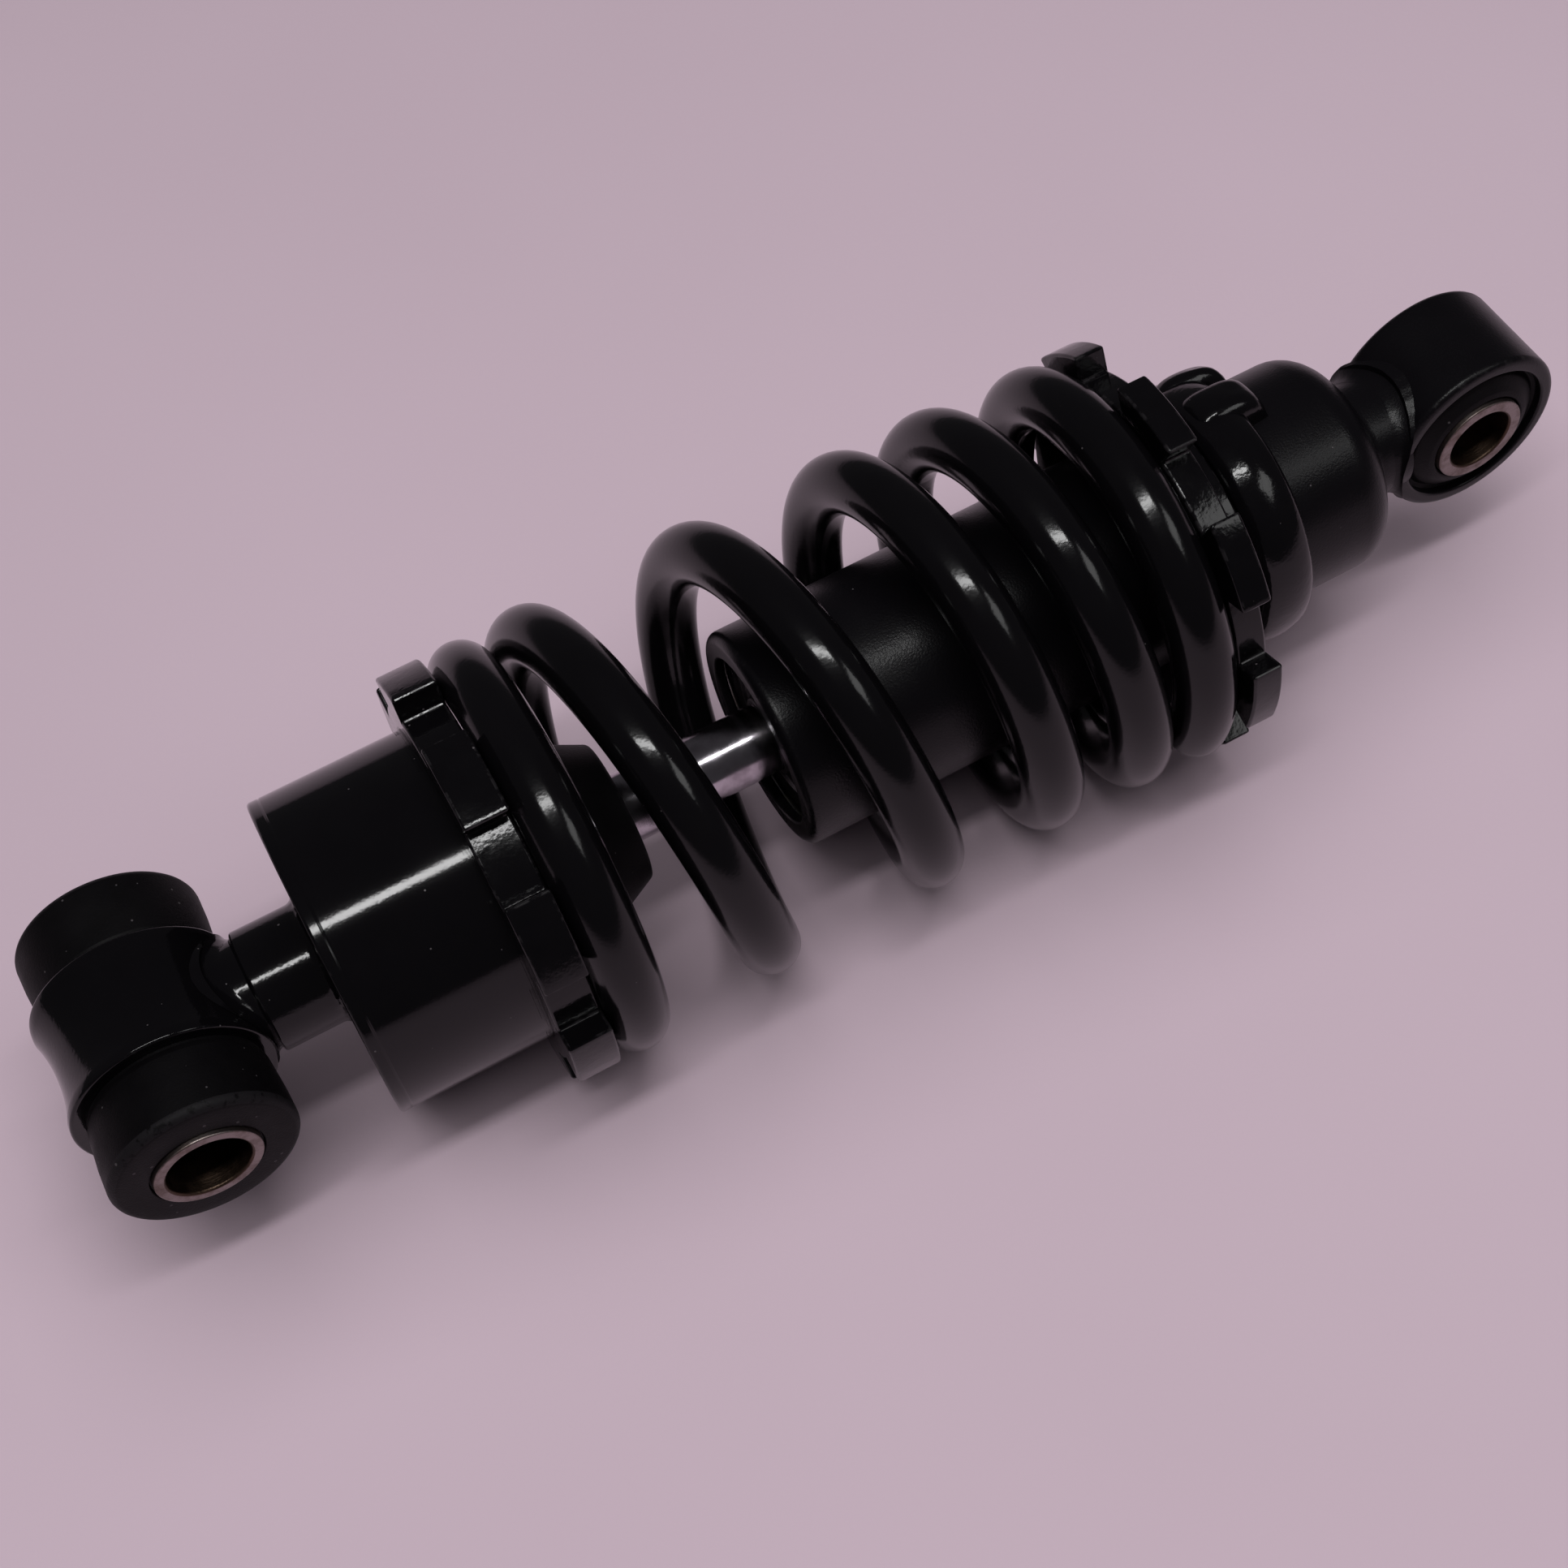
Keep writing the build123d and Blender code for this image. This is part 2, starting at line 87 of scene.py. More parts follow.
bodyOf = {node: body for body, nodes in record["behaviour"]["bodies"].items() for node in nodes}
slotOf = {part["node"]: part["material_slot"] for part in record["subparts"]}
mounts = {mount["name"]: mount for mount in record["mounts"]}


# start, end and radius of a piece about the shock's axis, in millimetres
def span(node):
    low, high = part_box(node)
    return low.x / mm, high.x / mm, high.z / mm


# largest radius of a piece about the shock's axis
def radiusOf(node):
    return span(node)[2]


# middle, half width and radius of a piece about an eye bolt, in millimetres
def eyeSpan(node):
    low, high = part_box(node)
    return (low.x + high.x) / 2 / mm, high.y / mm, high.z / mm


# a shader node group with its named sockets
def makeGroup(name, inputs, outputs):
    tree = bpy.data.node_groups.new(name, "ShaderNodeTree")
    for label, kind, value in inputs:
        socket = tree.interface.new_socket(name=label, in_out="INPUT", socket_type=kind)
        if value is not None:
            socket.default_value = value
    for label, kind in outputs:
        tree.interface.new_socket(name=label, in_out="OUTPUT", socket_type=kind)
    return tree, tree.nodes.new("NodeGroupInput"), tree.nodes.new("NodeGroupOutput")


# connects a socket, or sets a plain value
def feed(tree, socket, value):
    if isinstance(value, bpy.types.NodeSocket):
        tree.links.new(value, socket)
    else:
        socket.default_value = value


def maths(tree, operation, first, second=0.0, clamp=False):
    node = tree.nodes.new("ShaderNodeMath")
    node.operation = operation
    node.use_clamp = clamp
    feed(tree, node.inputs[0], first)
    feed(tree, node.inputs[1], second)
    return node.outputs[0]


def noiseOf(tree, vector, scale, detail=3.0, roughness=0.5):
    node = tree.nodes.new("ShaderNodeTexNoise")
    feed(tree, node.inputs["Vector"], vector)
    feed(tree, node.inputs["Scale"], scale)
    node.inputs["Detail"].default_value = detail
    node.inputs["Roughness"].default_value = roughness
    return node.outputs["Fac"]


def ramp(tree, value, low, high, start=0.0, end=1.0):
    node = tree.nodes.new("ShaderNodeMapRange")
    feed(tree, node.inputs["Value"], value)
    feed(tree, node.inputs["From Min"], low)
    feed(tree, node.inputs["From Max"], high)
    feed(tree, node.inputs["To Min"], start)
    feed(tree, node.inputs["To Max"], end)
    return node.outputs["Result"]


def mixColour(tree, share, first, second):
    node = tree.nodes.new("ShaderNodeMix")
    node.data_type = "RGBA"
    feed(tree, node.inputs["Factor"], share)
    feed(tree, node.inputs["A"], first)
    feed(tree, node.inputs["B"], second)
    return node.outputs["Result"]


def useGroup(tree, group, **values):
    node = tree.nodes.new("ShaderNodeGroup")
    node.node_tree = group
    for label, value in values.items():
        feed(tree, node.inputs[label], value)
    return node.outputs


# specks of dust: a few cells out of many, each with a spot of its own size
def makeDust():
    tree, enter, leave = makeGroup(
        "dust",
        [("Vector", "NodeSocketVector", None), ("Scale", "NodeSocketFloat", 400.0),
         ("Share", "NodeSocketFloat", 0.1), ("Size", "NodeSocketFloat", 0.12)],
        [("Mask", "NodeSocketFloat")])
    cells = tree.nodes.new("ShaderNodeTexVoronoi")
    feed(tree, cells.inputs["Vector"], enter.outputs["Vector"])
    feed(tree, cells.inputs["Scale"], enter.outputs["Scale"])
    lucky = tree.nodes.new("ShaderNodeSeparateColor")
    feed(tree, lucky.inputs["Color"], cells.outputs["Color"])
    chosen = maths(tree, "LESS_THAN", lucky.outputs[0], enter.outputs["Share"])
    size = maths(tree, "MULTIPLY", enter.outputs["Size"], lucky.outputs[1])
    speck = maths(tree, "LESS_THAN", cells.outputs["Distance"], size)
    feed(tree, leave.inputs["Mask"], maths(tree, "MULTIPLY", chosen, speck))
    return tree


# thick paint: fine orange peel over slow waves
def makePeel():
    tree, enter, leave = makeGroup(
        "peel",
        [("Vector", "NodeSocketVector", None), ("Fine", "NodeSocketFloat", 900.0),
         ("Coarse", "NodeSocketFloat", 120.0), ("Balance", "NodeSocketFloat", 0.5)],
        [("Height", "NodeSocketFloat"), ("Cloud", "NodeSocketFloat")])
    fine = noiseOf(tree, enter.outputs["Vector"], enter.outputs["Fine"], 2.0)
    coarse = noiseOf(tree, enter.outputs["Vector"], enter.outputs["Coarse"], 3.0)
    share = maths(tree, "MULTIPLY", coarse, enter.outputs["Balance"])
    rest = maths(tree, "SUBTRACT", 1.0, enter.outputs["Balance"])
    feed(tree, leave.inputs["Height"], maths(tree, "ADD", share, maths(tree, "MULTIPLY", fine, rest)))
    feed(tree, leave.inputs["Cloud"], coarse)
    return tree


# fine rings left by turning or grinding, along one coordinate
def makeTurning():
    tree, enter, leave = makeGroup(
        "turning",
        [("Along", "NodeSocketFloat", 0.0), ("Scale", "NodeSocketFloat", 2000.0)],
        [("Height", "NodeSocketFloat")])
    rings = tree.nodes.new("ShaderNodeTexNoise")
    rings.noise_dimensions = "1D"
    feed(tree, rings.inputs["W"], maths(tree, "MULTIPLY", enter.outputs["Along"], enter.outputs["Scale"]))
    rings.inputs["Scale"].default_value = 1.0
    rings.inputs["Detail"].default_value = 2.0
    feed(tree, leave.inputs["Height"], rings.outputs["Fac"])
    return tree


# broken wear on the faces that the meshes mark as edges; the plain mark is given out too, and the metals use
# it for painted shade in a bore
def makeWearAndShade():
    tree, enter, leave = makeGroup(
        "wear",
        [("Vector", "NodeSocketVector", None), ("Scale", "NodeSocketFloat", 500.0),
         ("Amount", "NodeSocketFloat", 0.5)],
        [("Mask", "NodeSocketFloat"), ("Edge", "NodeSocketFloat")])
    mark = tree.nodes.new("ShaderNodeAttribute")
    mark.attribute_name = "mark"
    broken = noiseOf(tree, enter.outputs["Vector"], enter.outputs["Scale"], 4.0, 0.65)
    level = maths(tree, "SUBTRACT", 1.0, enter.outputs["Amount"])
    worn = ramp(tree, broken, maths(tree, "MULTIPLY", level, 0.85), level)
    feed(tree, leave.inputs["Mask"], maths(tree, "MULTIPLY", worn, mark.outputs["Fac"]))
    feed(tree, leave.inputs["Edge"], mark.outputs["Fac"])
    return tree


dustGroup = makeDust()
peelGroup = makePeel()
turningGroup = makeTurning()
wearAndShadeGroup = makeWearAndShade()


# a new material with its plain values set on the shader itself
def startMaterial(name, values):
    material = bpy.data.materials.new(name)
    material.use_nodes = True
    tree = material.node_tree
    shader = tree.nodes["Principled BSDF"]
    for label, value in values.items():
        shader.inputs[label].default_value = value
    place = tree.nodes.new("ShaderNodeTexCoord").outputs["Object"]
    return material, tree, shader, place


def bump(tree, shader, height, strength, distance):
    node = tree.nodes.new("ShaderNodeBump")
    node.inputs["Strength"].default_value = strength
    node.inputs["Distance"].default_value = distance
    feed(tree, node.inputs["Height"], height)
    feed(tree, shader.inputs["Normal"], node.outputs["Normal"])


# black paint in its several grades
def makePaint(name, look):
    material, tree, shader, place = startMaterial(name, {"Specular IOR Level": look["gloss"]})
    peel = useGroup(tree, peelGroup, Vector=place, Fine=look["fine"], Coarse=look["coarse"],
                    Balance=look["balance"])
    wear = useGroup(tree, wearAndShadeGroup, Vector=place, Scale=look["wearScale"], Amount=look["wear"])
    dust = useGroup(tree, dustGroup, Vector=place, Scale=look["dustScale"], Share=look["dust"],
                    Size=look["dustSize"])
    cloudy = mixColour(tree, peel["Cloud"], look["dark"], look["light"])
    rubbed = mixColour(tree, wear["Mask"], cloudy, look["wornColour"])
    feed(tree, shader.inputs["Base Color"], mixColour(tree, dust["Mask"], rubbed, look["dustColour"]))
    slow = noiseOf(tree, place, look["coarse"] * look["smearScale"], 4.0)
    rough = ramp(tree, slow, 0.3, 0.7, look["roughness"][0], look["roughness"][1])
    rough = maths(tree, "ADD", rough, maths(tree, "MULTIPLY", wear["Mask"], look["wornRoughness"]))
    rough = maths(tree, "ADD", rough, maths(tree, "MULTIPLY", dust["Mask"], look["dustRoughness"]))
    feed(tree, shader.inputs["Roughness"], rough)
    height = peel["Height"]
    if look["turned"]:
        axis = tree.nodes.new("ShaderNodeSeparateXYZ")
        feed(tree, axis.inputs[0], place)
        rings = useGroup(tree, turningGroup, Along=axis.outputs["X"], Scale=look["turnedScale"])
        height = maths(tree, "ADD", height, maths(tree, "MULTIPLY", rings["Height"], look["turned"]))
    bump(tree, shader, height, look["bump"], look["bumpDepth"])
    return material


paint = {
    "gloss": 0.34, "fine": 1500.0, "coarse": 110.0, "balance": 0.6, "wearScale": 420.0, "wear": 0.34,
    "wornRoughness": 0.12, "dustScale": 620.0, "dust": 0.07, "dustSize": 0.12, "dustRoughness": 0.4,
    "dark": (0.0014, 0.0012, 0.0016, 1), "light": (0.0026, 0.0022, 0.0028, 1),
    "wornColour": (0.009, 0.008, 0.009, 1), "dustColour": (0.06, 0.053, 0.057, 1),
    "roughness": (0.08, 0.13), "smearScale": 0.6,
    "turned": 0.0, "turnedScale": 3000.0, "bump": 0.12, "bumpDepth": 0.0004,
}
castPaint = {**paint, "coarse": 260.0, "balance": 0.8, "roughness": (0.09, 0.16), "bump": 0.26,
             "wear": 0.42, "dust": 0.1}
cupPaint = {**paint, "turned": 0.9, "turnedScale": 5200.0, "roughness": (0.07, 0.1), "bump": 0.05}
springPaint = {**paint, "roughness": (0.12, 0.18), "bump": 0.08, "coarse": 70.0, "dust": 0.05,
               "dark": (0.0016, 0.0014, 0.0018, 1), "light": (0.0028, 0.0024, 0.003, 1)}
satinPaint = {**paint, "gloss": 0.21, "roughness": (0.26, 0.34), "fine": 2600.0, "balance": 0.3,
              "bump": 0.16, "dust": 0.04, "dark": (0.002, 0.0017, 0.0023, 1),
              "light": (0.0032, 0.0027, 0.0035, 1)}


# rubber with a dull bloom, and the plastic bands
def makeRubber(name, look):
    material, tree, shader, place = startMaterial(name, {"Specular IOR Level": look["gloss"]})
    wear = useGroup(tree, wearAndShadeGroup, Vector=place, Scale=look["wearScale"], Amount=look["wear"])
    dust = useGroup(tree, dustGroup, Vector=place, Scale=look["dustScale"], Share=look["dust"],
                    Size=look["dustSize"])
    bloom = ramp(tree, noiseOf(tree, place, look["bloomScale"], 5.0, 0.6), 0.35, 0.75)
    base = mixColour(tree, bloom, look["dark"], look["light"])
    rubbed = mixColour(tree, wear["Mask"], base, look["wornColour"])
    feed(tree, shader.inputs["Base Color"], mixColour(tree, dust["Mask"], rubbed, look["dustColour"]))
    rough = ramp(tree, bloom, 0.0, 1.0, look["roughness"][0], look["roughness"][1])
    feed(tree, shader.inputs["Roughness"], rough)
    grain = noiseOf(tree, place, look["grain"], 3.0, 0.6)
    bump(tree, shader, grain, look["bump"], look["bumpDepth"])
    return material


rubber = {
    "gloss": 0.13, "wearScale": 700.0, "wear": 0.56, "dustScale": 700.0, "dust": 0.16, "dustSize": 0.2,
    "dark": (0.0012, 0.001, 0.0013, 1), "light": (0.0026, 0.0022, 0.0027, 1),
    "wornColour": (0.007, 0.0062, 0.0072, 1), "dustColour": (0.045, 0.04, 0.043, 1),
    "roughness": (0.48, 0.62), "bloomScale": 90.0, "grain": 2600.0, "bump": 0.3, "bumpDepth": 0.0002,
}
sealRubber = {**rubber, "roughness": (0.35, 0.45), "dust": 0.02}


# bare or plated metal, turned or ground, with stains, and with painted shade on the faces that the meshes
# mark
def makeMetal(name, look):
    material, tree, shader, place = startMaterial(name, {"Metallic": 1.0})
    axis = tree.nodes.new("ShaderNodeSeparateXYZ")
    feed(tree, axis.inputs[0], place)
    rings = useGroup(tree, turningGroup, Along=axis.outputs[look["along"]], Scale=look["turnedScale"])
    # the plain mark; on bare steel its colour is painted shade with a grimy tint in a sleeve's bore
    marked = useGroup(tree, wearAndShadeGroup, Vector=place)["Edge"]
    blotches = noiseOf(tree, place, look["stainScale"], 5.0, 0.65)
    stain = ramp(tree, blotches, look["stainFrom"], look["stainTo"])
    base = mixColour(tree, stain, look["clean"], look["stained"])
    feed(tree, shader.inputs["Base Color"], mixColour(tree, marked, base, look["marked"]))
    rough = ramp(tree, stain, 0.0, 1.0, look["roughness"][0], look["roughness"][1])
    rough = maths(tree, "ADD", rough, maths(tree, "MULTIPLY", rings["Height"], look["ringRoughness"]))
    feed(tree, shader.inputs["Roughness"], rough)
    grit = noiseOf(tree, place, look["grit"], 3.0)
    height = maths(tree, "ADD", maths(tree, "MULTIPLY", rings["Height"], look["turned"]), grit)
    bump(tree, shader, height, look["bump"], look["bumpDepth"])
    return material


# bare steel's marked colour is painted shade, darker and brown, laid in the bore of a sleeve
steel = {
    "along": "Y", "turnedScale": 2500.0, "turned": 0.4,
    "stainScale": 260.0, "stainFrom": 0.42, "stainTo": 0.66,
    "clean": (0.25, 0.21, 0.2, 1), "stained": (0.13, 0.095, 0.08, 1),
    "marked": (0.075, 0.05, 0.036, 1), "roughness": (0.34, 0.5), "ringRoughness": 0.06,
    "grit": 2400.0, "bump": 0.3, "bumpDepth": 0.0002,
}
chrome = {**steel, "along": "X", "turnedScale": 9000.0, "turned": 1.0, "clean": (0.5, 0.47, 0.51, 1),
          "stained": (0.34, 0.31, 0.34, 1), "marked": (0.5, 0.47, 0.51, 1), "roughness": (0.1, 0.2),
          "bump": 0.03, "grit": 600.0}
plated = {**steel, "along": "X", "clean": (0.5, 0.5, 0.48, 1), "stained": (0.36, 0.34, 0.28, 1),
          "marked": (0.6, 0.6, 0.58, 1), "roughness": (0.25, 0.36), "bump": 0.15}
aluminium = {**plated, "clean": (0.72, 0.72, 0.74, 1), "stained": (0.6, 0.6, 0.63, 1),
             "marked": (0.78, 0.78, 0.8, 1)}
bandPlastic = {**sealRubber, "dark": (0.2, 0.12, 0.06, 1), "light": (0.28, 0.18, 0.1, 1),
               "wornColour": (0.3, 0.2, 0.12, 1)}

# one finish for each of the record's material slots
finishes = {
    "gloss_black": makePaint("glossPaint", paint),
    "cast_black": makePaint("castPaint", castPaint),
    "spring_black": makePaint("springPaint", springPaint),
    "satin_black": makePaint("satinPaint", satinPaint),
    "chrome": makeMetal("chrome", chrome),
    "rubber": makeRubber("rubber", rubber),
    "seal_rubber": makeRubber("sealRubber", sealRubber),
    "bare_steel": makeMetal("bareSteel", steel),
    "plated_steel": makeMetal("platedSteel", plated),
    "aluminium": makeMetal("aluminium", aluminium),
    "bearing_band": makeRubber("bearingBand", bandPlastic),
}
cupFinish = makePaint("cupPaint", cupPaint)
for node, slotName in slotOf.items():
    cadNode = frame["nodes"][node]
    cadNode.data.materials.clear()
    cadNode.data.materials.append(finishes[slotName])
print("finishes made:", len(bpy.data.materials))


# rounds the corners of a closed outline
# a corner is (along, radius, rounding), and may carry a mark: for wear on edges, and for painted shade in a
# sleeve's bore
def roundOutline(corners, steps=5):
    points = []
    count = len(corners)
    for k, corner in enumerate(corners):
        here = Vector(corner[:2])
        back = Vector(corners[k - 1][:2]) - here
        ahead = Vector(corners[(k + 1) % count][:2]) - here
        mark = corner[3] if len(corner) > 3 else 0.0
        turn = back.angle(ahead)
        if corner[2] <= 0 or turn > 3.12:
            points.append((here.x, here.y, 0.0))
            continue
        cut = min(corner[2] / math.tan(turn / 2), back.length * 0.49, ahead.length * 0.49)
        size = cut * math.tan(turn / 2)
        centre = here + (back.normalized() + ahead.normalized()).normalized() * size / math.sin(turn / 2)
        first = here + back.normalized() * cut - centre
        last = here + ahead.normalized() * cut - centre
        sweep = first.angle(last)
        for i in range(steps + 1):
            share = i / steps
            spoke = first * math.sin((1 - share) * sweep) + last * math.sin(share * sweep)
            spoke /= math.sin(sweep)
            points.append((centre.x + spoke.x, centre.y + spoke.y, mark if i < steps else 0.0))
    return points


# an empty mesh whose faces can carry a mark: for wear on edges, and for painted shade in a sleeve's bore
def newMesh():
    bm = bmesh.new()
    bm.faces.layers.float.new("mark")
    return bm


# joins neighbouring rings of vertices with faces; strips holds the mark of each strip of faces
def joinRings(bm, rings, strips, closed=True):
    marks = bm.faces.layers.float["mark"]
    others = rings[1:] + rings[:1] if closed else rings[1:]
    for ring, other in zip(rings, others):
        for i, mark in enumerate(strips):
            n = (i + 1) % len(ring)
            bm.faces.new((ring[i], ring[n], other[n], other[i]))[marks] = mark


# turns an outline of (along, radius, mark) about the shock's axis, or about an eye bolt at eyeX
def turn(bm, outline, segments, eyeX=None, wobble=None):
    rings = []
    for j in range(segments):
        angle = 2 * math.pi * j / segments
        ring = []
        for along, radius, _ in outline:
            if wobble:
                along, radius = wobble(along, radius, angle)
            across, up = radius * math.cos(angle), radius * math.sin(angle)
            place = (along, across, up) if eyeX is None else (eyeX + across, along, up)
            ring.append(bm.verts.new(Vector(place) * mm))
        rings.append(ring)
    following = outline[1:] + outline[:1]
    joinRings(bm, rings, [min(spot[2], other[2]) for spot, other in zip(outline, following)])


# makes the object, gives it a finish, and puts it in the place of its CAD node
def finishPiece(bm, name, node, material=None, sharp=38.0, ride=True):
    bmesh.ops.remove_doubles(bm, verts=bm.verts, dist=1e-7)
    bmesh.ops.dissolve_degenerate(bm, edges=bm.edges, dist=1e-8)
    bmesh.ops.recalc_face_normals(bm, faces=bm.faces)
    mesh = bpy.data.meshes.new(name)
    bm.to_mesh(mesh)
    bm.free()
    mesh.shade_smooth()
    mesh.set_sharp_from_angle(angle=math.radians(sharp))
    piece = bpy.data.objects.new(name, mesh)
    bpy.context.scene.collection.objects.link(piece)
    mesh.materials.append(material or finishes[slotOf[node]])
    even = piece.modifiers.new("even", "WEIGHTED_NORMAL")
    even.keep_sharp = True
    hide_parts(node)
    if ride:
        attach(piece, bodyOf[node])
    return piece


# a piece that is turned whole from its corners
def turnedPiece(name, node, corners, segments, eyeX=None, steps=5, material=None):
    bm = newMesh()
    turn(bm, roundOutline(corners, steps), segments, eyeX)
    return finishPiece(bm, name, node, material)


# adds the mirror image of a row of corners, last to first
def bothEnds(corners):
    return corners + [(-corner[0], *corner[1:]) for corner in corners[::-1]]


# both eyes
eyeLook = {
    "sleeveEdge": 0.35, "boreEdge": 0.55, "gap": 0.3, "gapDepth": 0.7, "fit": 0.02,
    "lipEdge": 0.55, "barrelWall": 3.5, "barrelWaist": 1.2, "waistPower": 2.2, "barrelLip": 1.4,
    "barrelSteps": 24, "faceWidth": 3.2, "faceDish": 0.35, "collarRound": 1.7, "collarLength": 6.0,
    "collarNeck": 1.05, "collarNeckWidth": 1.6, "upperRound": 1.3, "upperGroove": 0.9, "upperDome": 2.4,
}


# sleeve for the bolt; its bore is marked all the way and coloured darker and brown: grime, with painted
# shade
def makeSleeve(name, node, mountName):
    centre, half, outer = eyeSpan(node)
    bore = mounts[mountName]["dims"]["r_mm"]
    edge, inner = eyeLook["sleeveEdge"], eyeLook["boreEdge"]
    outline = roundOutline([
        (-half, bore, inner, 1.0), (-half, outer, edge), (half, outer, edge), (half, bore, inner, 1.0)])
    # the bore's faces carry the mark, which the bare steel finish turns into painted shade with a grimy
    # brown tint
    outline = [(a, r, 1.0 if r < bore + 0.05 else mark) for a, r, mark in outline]
    bm = newMesh()
    turn(bm, outline, 128, centre)
    return finishPiece(bm, name, node)


def makeLowerRubber():
    look = eyeLook
    centre, half, outer = eyeSpan("lower_eye_rubber")
    barrel = eyeSpan("lower_eye_barrel")[1]
    sleeve = eyeSpan("lower_eye_sleeve")[2]
    neck = outer - look["collarNeck"]
    corners = [
        (half - look["gapDepth"], sleeve + look["fit"], 0.0),
        (half - look["gapDepth"], sleeve + look["gap"], 0.1),
        (half, sleeve + look["gap"] + 0.15, 0.25, 0.3),
        (half, outer - look["faceWidth"], 0.0),
        (half - look["faceDish"], outer, look["collarRound"], 1.0),
        (half - look["collarLength"], outer - 0.12, 0.0),
        (barrel + look["collarNeckWidth"], neck + 0.45, 0.6),
        (barrel + 0.5, neck, 0.4), (barrel - 1.0, neck, 0.0)]
    return turnedPiece("lowerEyeRubber", "lower_eye_rubber", bothEnds(corners), 160, centre)


# radius of the lower barrel's saddle at a distance from its middle
def barrelRadius(across):
    half, lip = eyeSpan("lower_eye_barrel")[1:]
    share = min(1.0, abs(across) / (half - eyeLook["barrelLip"]))
    return lip - eyeLook["barrelWaist"] * (1 - share ** eyeLook["waistPower"])


def makeLowerBarrel():
    look = eyeLook
    centre, half, lip = eyeSpan("lower_eye_barrel")
    bore = lip - look["barrelWall"]
    corners = [(-half, bore, 0.2), (-half, lip, look["lipEdge"], 1.0)]
    for k in range(look["barrelSteps"] + 1):
        across = (half - look["barrelLip"]) * (2 * k / look["barrelSteps"] - 1)
        corners.append((across, barrelRadius(across), 0.0))
    corners += [(half, lip, look["lipEdge"], 1.0), (half, bore, 0.2)]
    return turnedPiece("lowerEyeBarrel", "lower_eye_barrel", corners, 192, centre)


def makeUpperRing():
    centre, half, outer = eyeSpan("upper_eye_ring")
    bore = eyeSpan("upper_eye_rubber")[2]
    size = eyeLook["upperRound"]
    corners = [(-half, bore, 0.5), (-half, outer, size, 1.0), (half, outer, size, 1.0), (half, bore, 0.5)]
    return turnedPiece("upperEyeRing", "upper_eye_ring", corners, 192, centre)


# the upper rubber stands out in a dome round its sleeve
def makeUpperRubber():
    look = eyeLook
    centre, half, outer = eyeSpan("upper_eye_rubber")
    sleeve = eyeSpan("upper_eye_sleeve")[2]
    corners = [
        (half - 0.5, sleeve + look["fit"], 0.0),
        (half + look["upperDome"], sleeve + 0.35, 0.4, 0.3),
        (half + 2.0, sleeve + 1.6, 0.8), (half + 0.4, outer - 1.5, 1.2),
        (half - look["upperGroove"], outer - 0.7, 0.4), (half - 0.2, outer, 0.0)]
    return turnedPiece("upperEyeRubber", "upper_eye_rubber", bothEnds(corners), 160, centre)


# stem, neck and their welds
stemLook = {
    "saddleGap": 0.3, "shoulderAt": 17.6, "shoulder": 0.9, "edge": 0.45, "step": 0.9, "paintFill": 0.4,
    "bead": 2.3, "beadRipple": 0.012, "ripples": 30, "beadThin": 0.62, "beadLump": 0.08, "beadSteps": 9,
    "cupBead": 1.7, "flatRipple": 0.03, "flatLump": 0.14, "neckBead": 2.6, "neckFill": 1.3,
}


# radius of the stem inside the cup, of its painted body, and of its root beside the eye
def stemRadii():
    inside = radiusOf("lower_stem") - stemLook["step"]
    body = inside + stemLook["paintFill"]
    return inside, body, body - stemLook["shoulder"]


# a fillet of weld round a stem where it meets an eye; side is the way from the eye to the stem
def addSaddleBead(bm, eyeX, side, radiusAt, half, stemRadius, size):
    look = stemLook
    segments = 180

    # how far from the bolt's axis the eye's surface lies, beside the shock's axis
    def surface(reach, angle):
        across = max(-half + 0.1, min(half - 0.1, reach * math.cos(angle)))
        return math.sqrt(max(radiusAt(across) ** 2 - (reach * math.sin(angle)) ** 2, 1.0))
    rings = []
    for j in range(segments):
        angle = 2 * math.pi * j / segments
        leg = size * (1 - look["beadThin"] * abs(math.cos(angle)) ** 8)
        leg *= 1 + look["beadRipple"] * math.sin(angle * look["ripples"] + 2 * math.sin(3 * angle))
        lump = noise.noise(Vector((math.cos(angle) * 2, math.sin(angle) * 2, eyeX)))
        leg *= 1 + look["beadLump"] * lump
        root = surface(stemRadius, angle)
        start = Vector((root + leg, stemRadius - 0.05))
        bend = Vector((root + 0.1, stemRadius + 0.12))
        end = Vector((surface(stemRadius + leg, angle) - 0.12, stemRadius + leg))
        path = []
        for i in range(look["beadSteps"] + 1):
            share = i / look["beadSteps"]
            path.append(start * (1 - share) ** 2 + bend * 2 * share * (1 - share) + end * share ** 2)
        # the bead's back is buried in the eye and the stem
        path += [Vector((root - 0.5, stemRadius + leg - 0.4)), Vector((root - 0.5, stemRadius - 0.6)),
                 Vector((start.x, stemRadius - 0.6))]
        ring = []
        for along, reach in path:
            place = (eyeX + side * along, reach * math.cos(angle), reach * math.sin(angle))
            ring.append(bm.verts.new(Vector(place) * mm))
        rings.append(ring)
    joinRings(bm, rings, [0.0] * len(rings[0]))


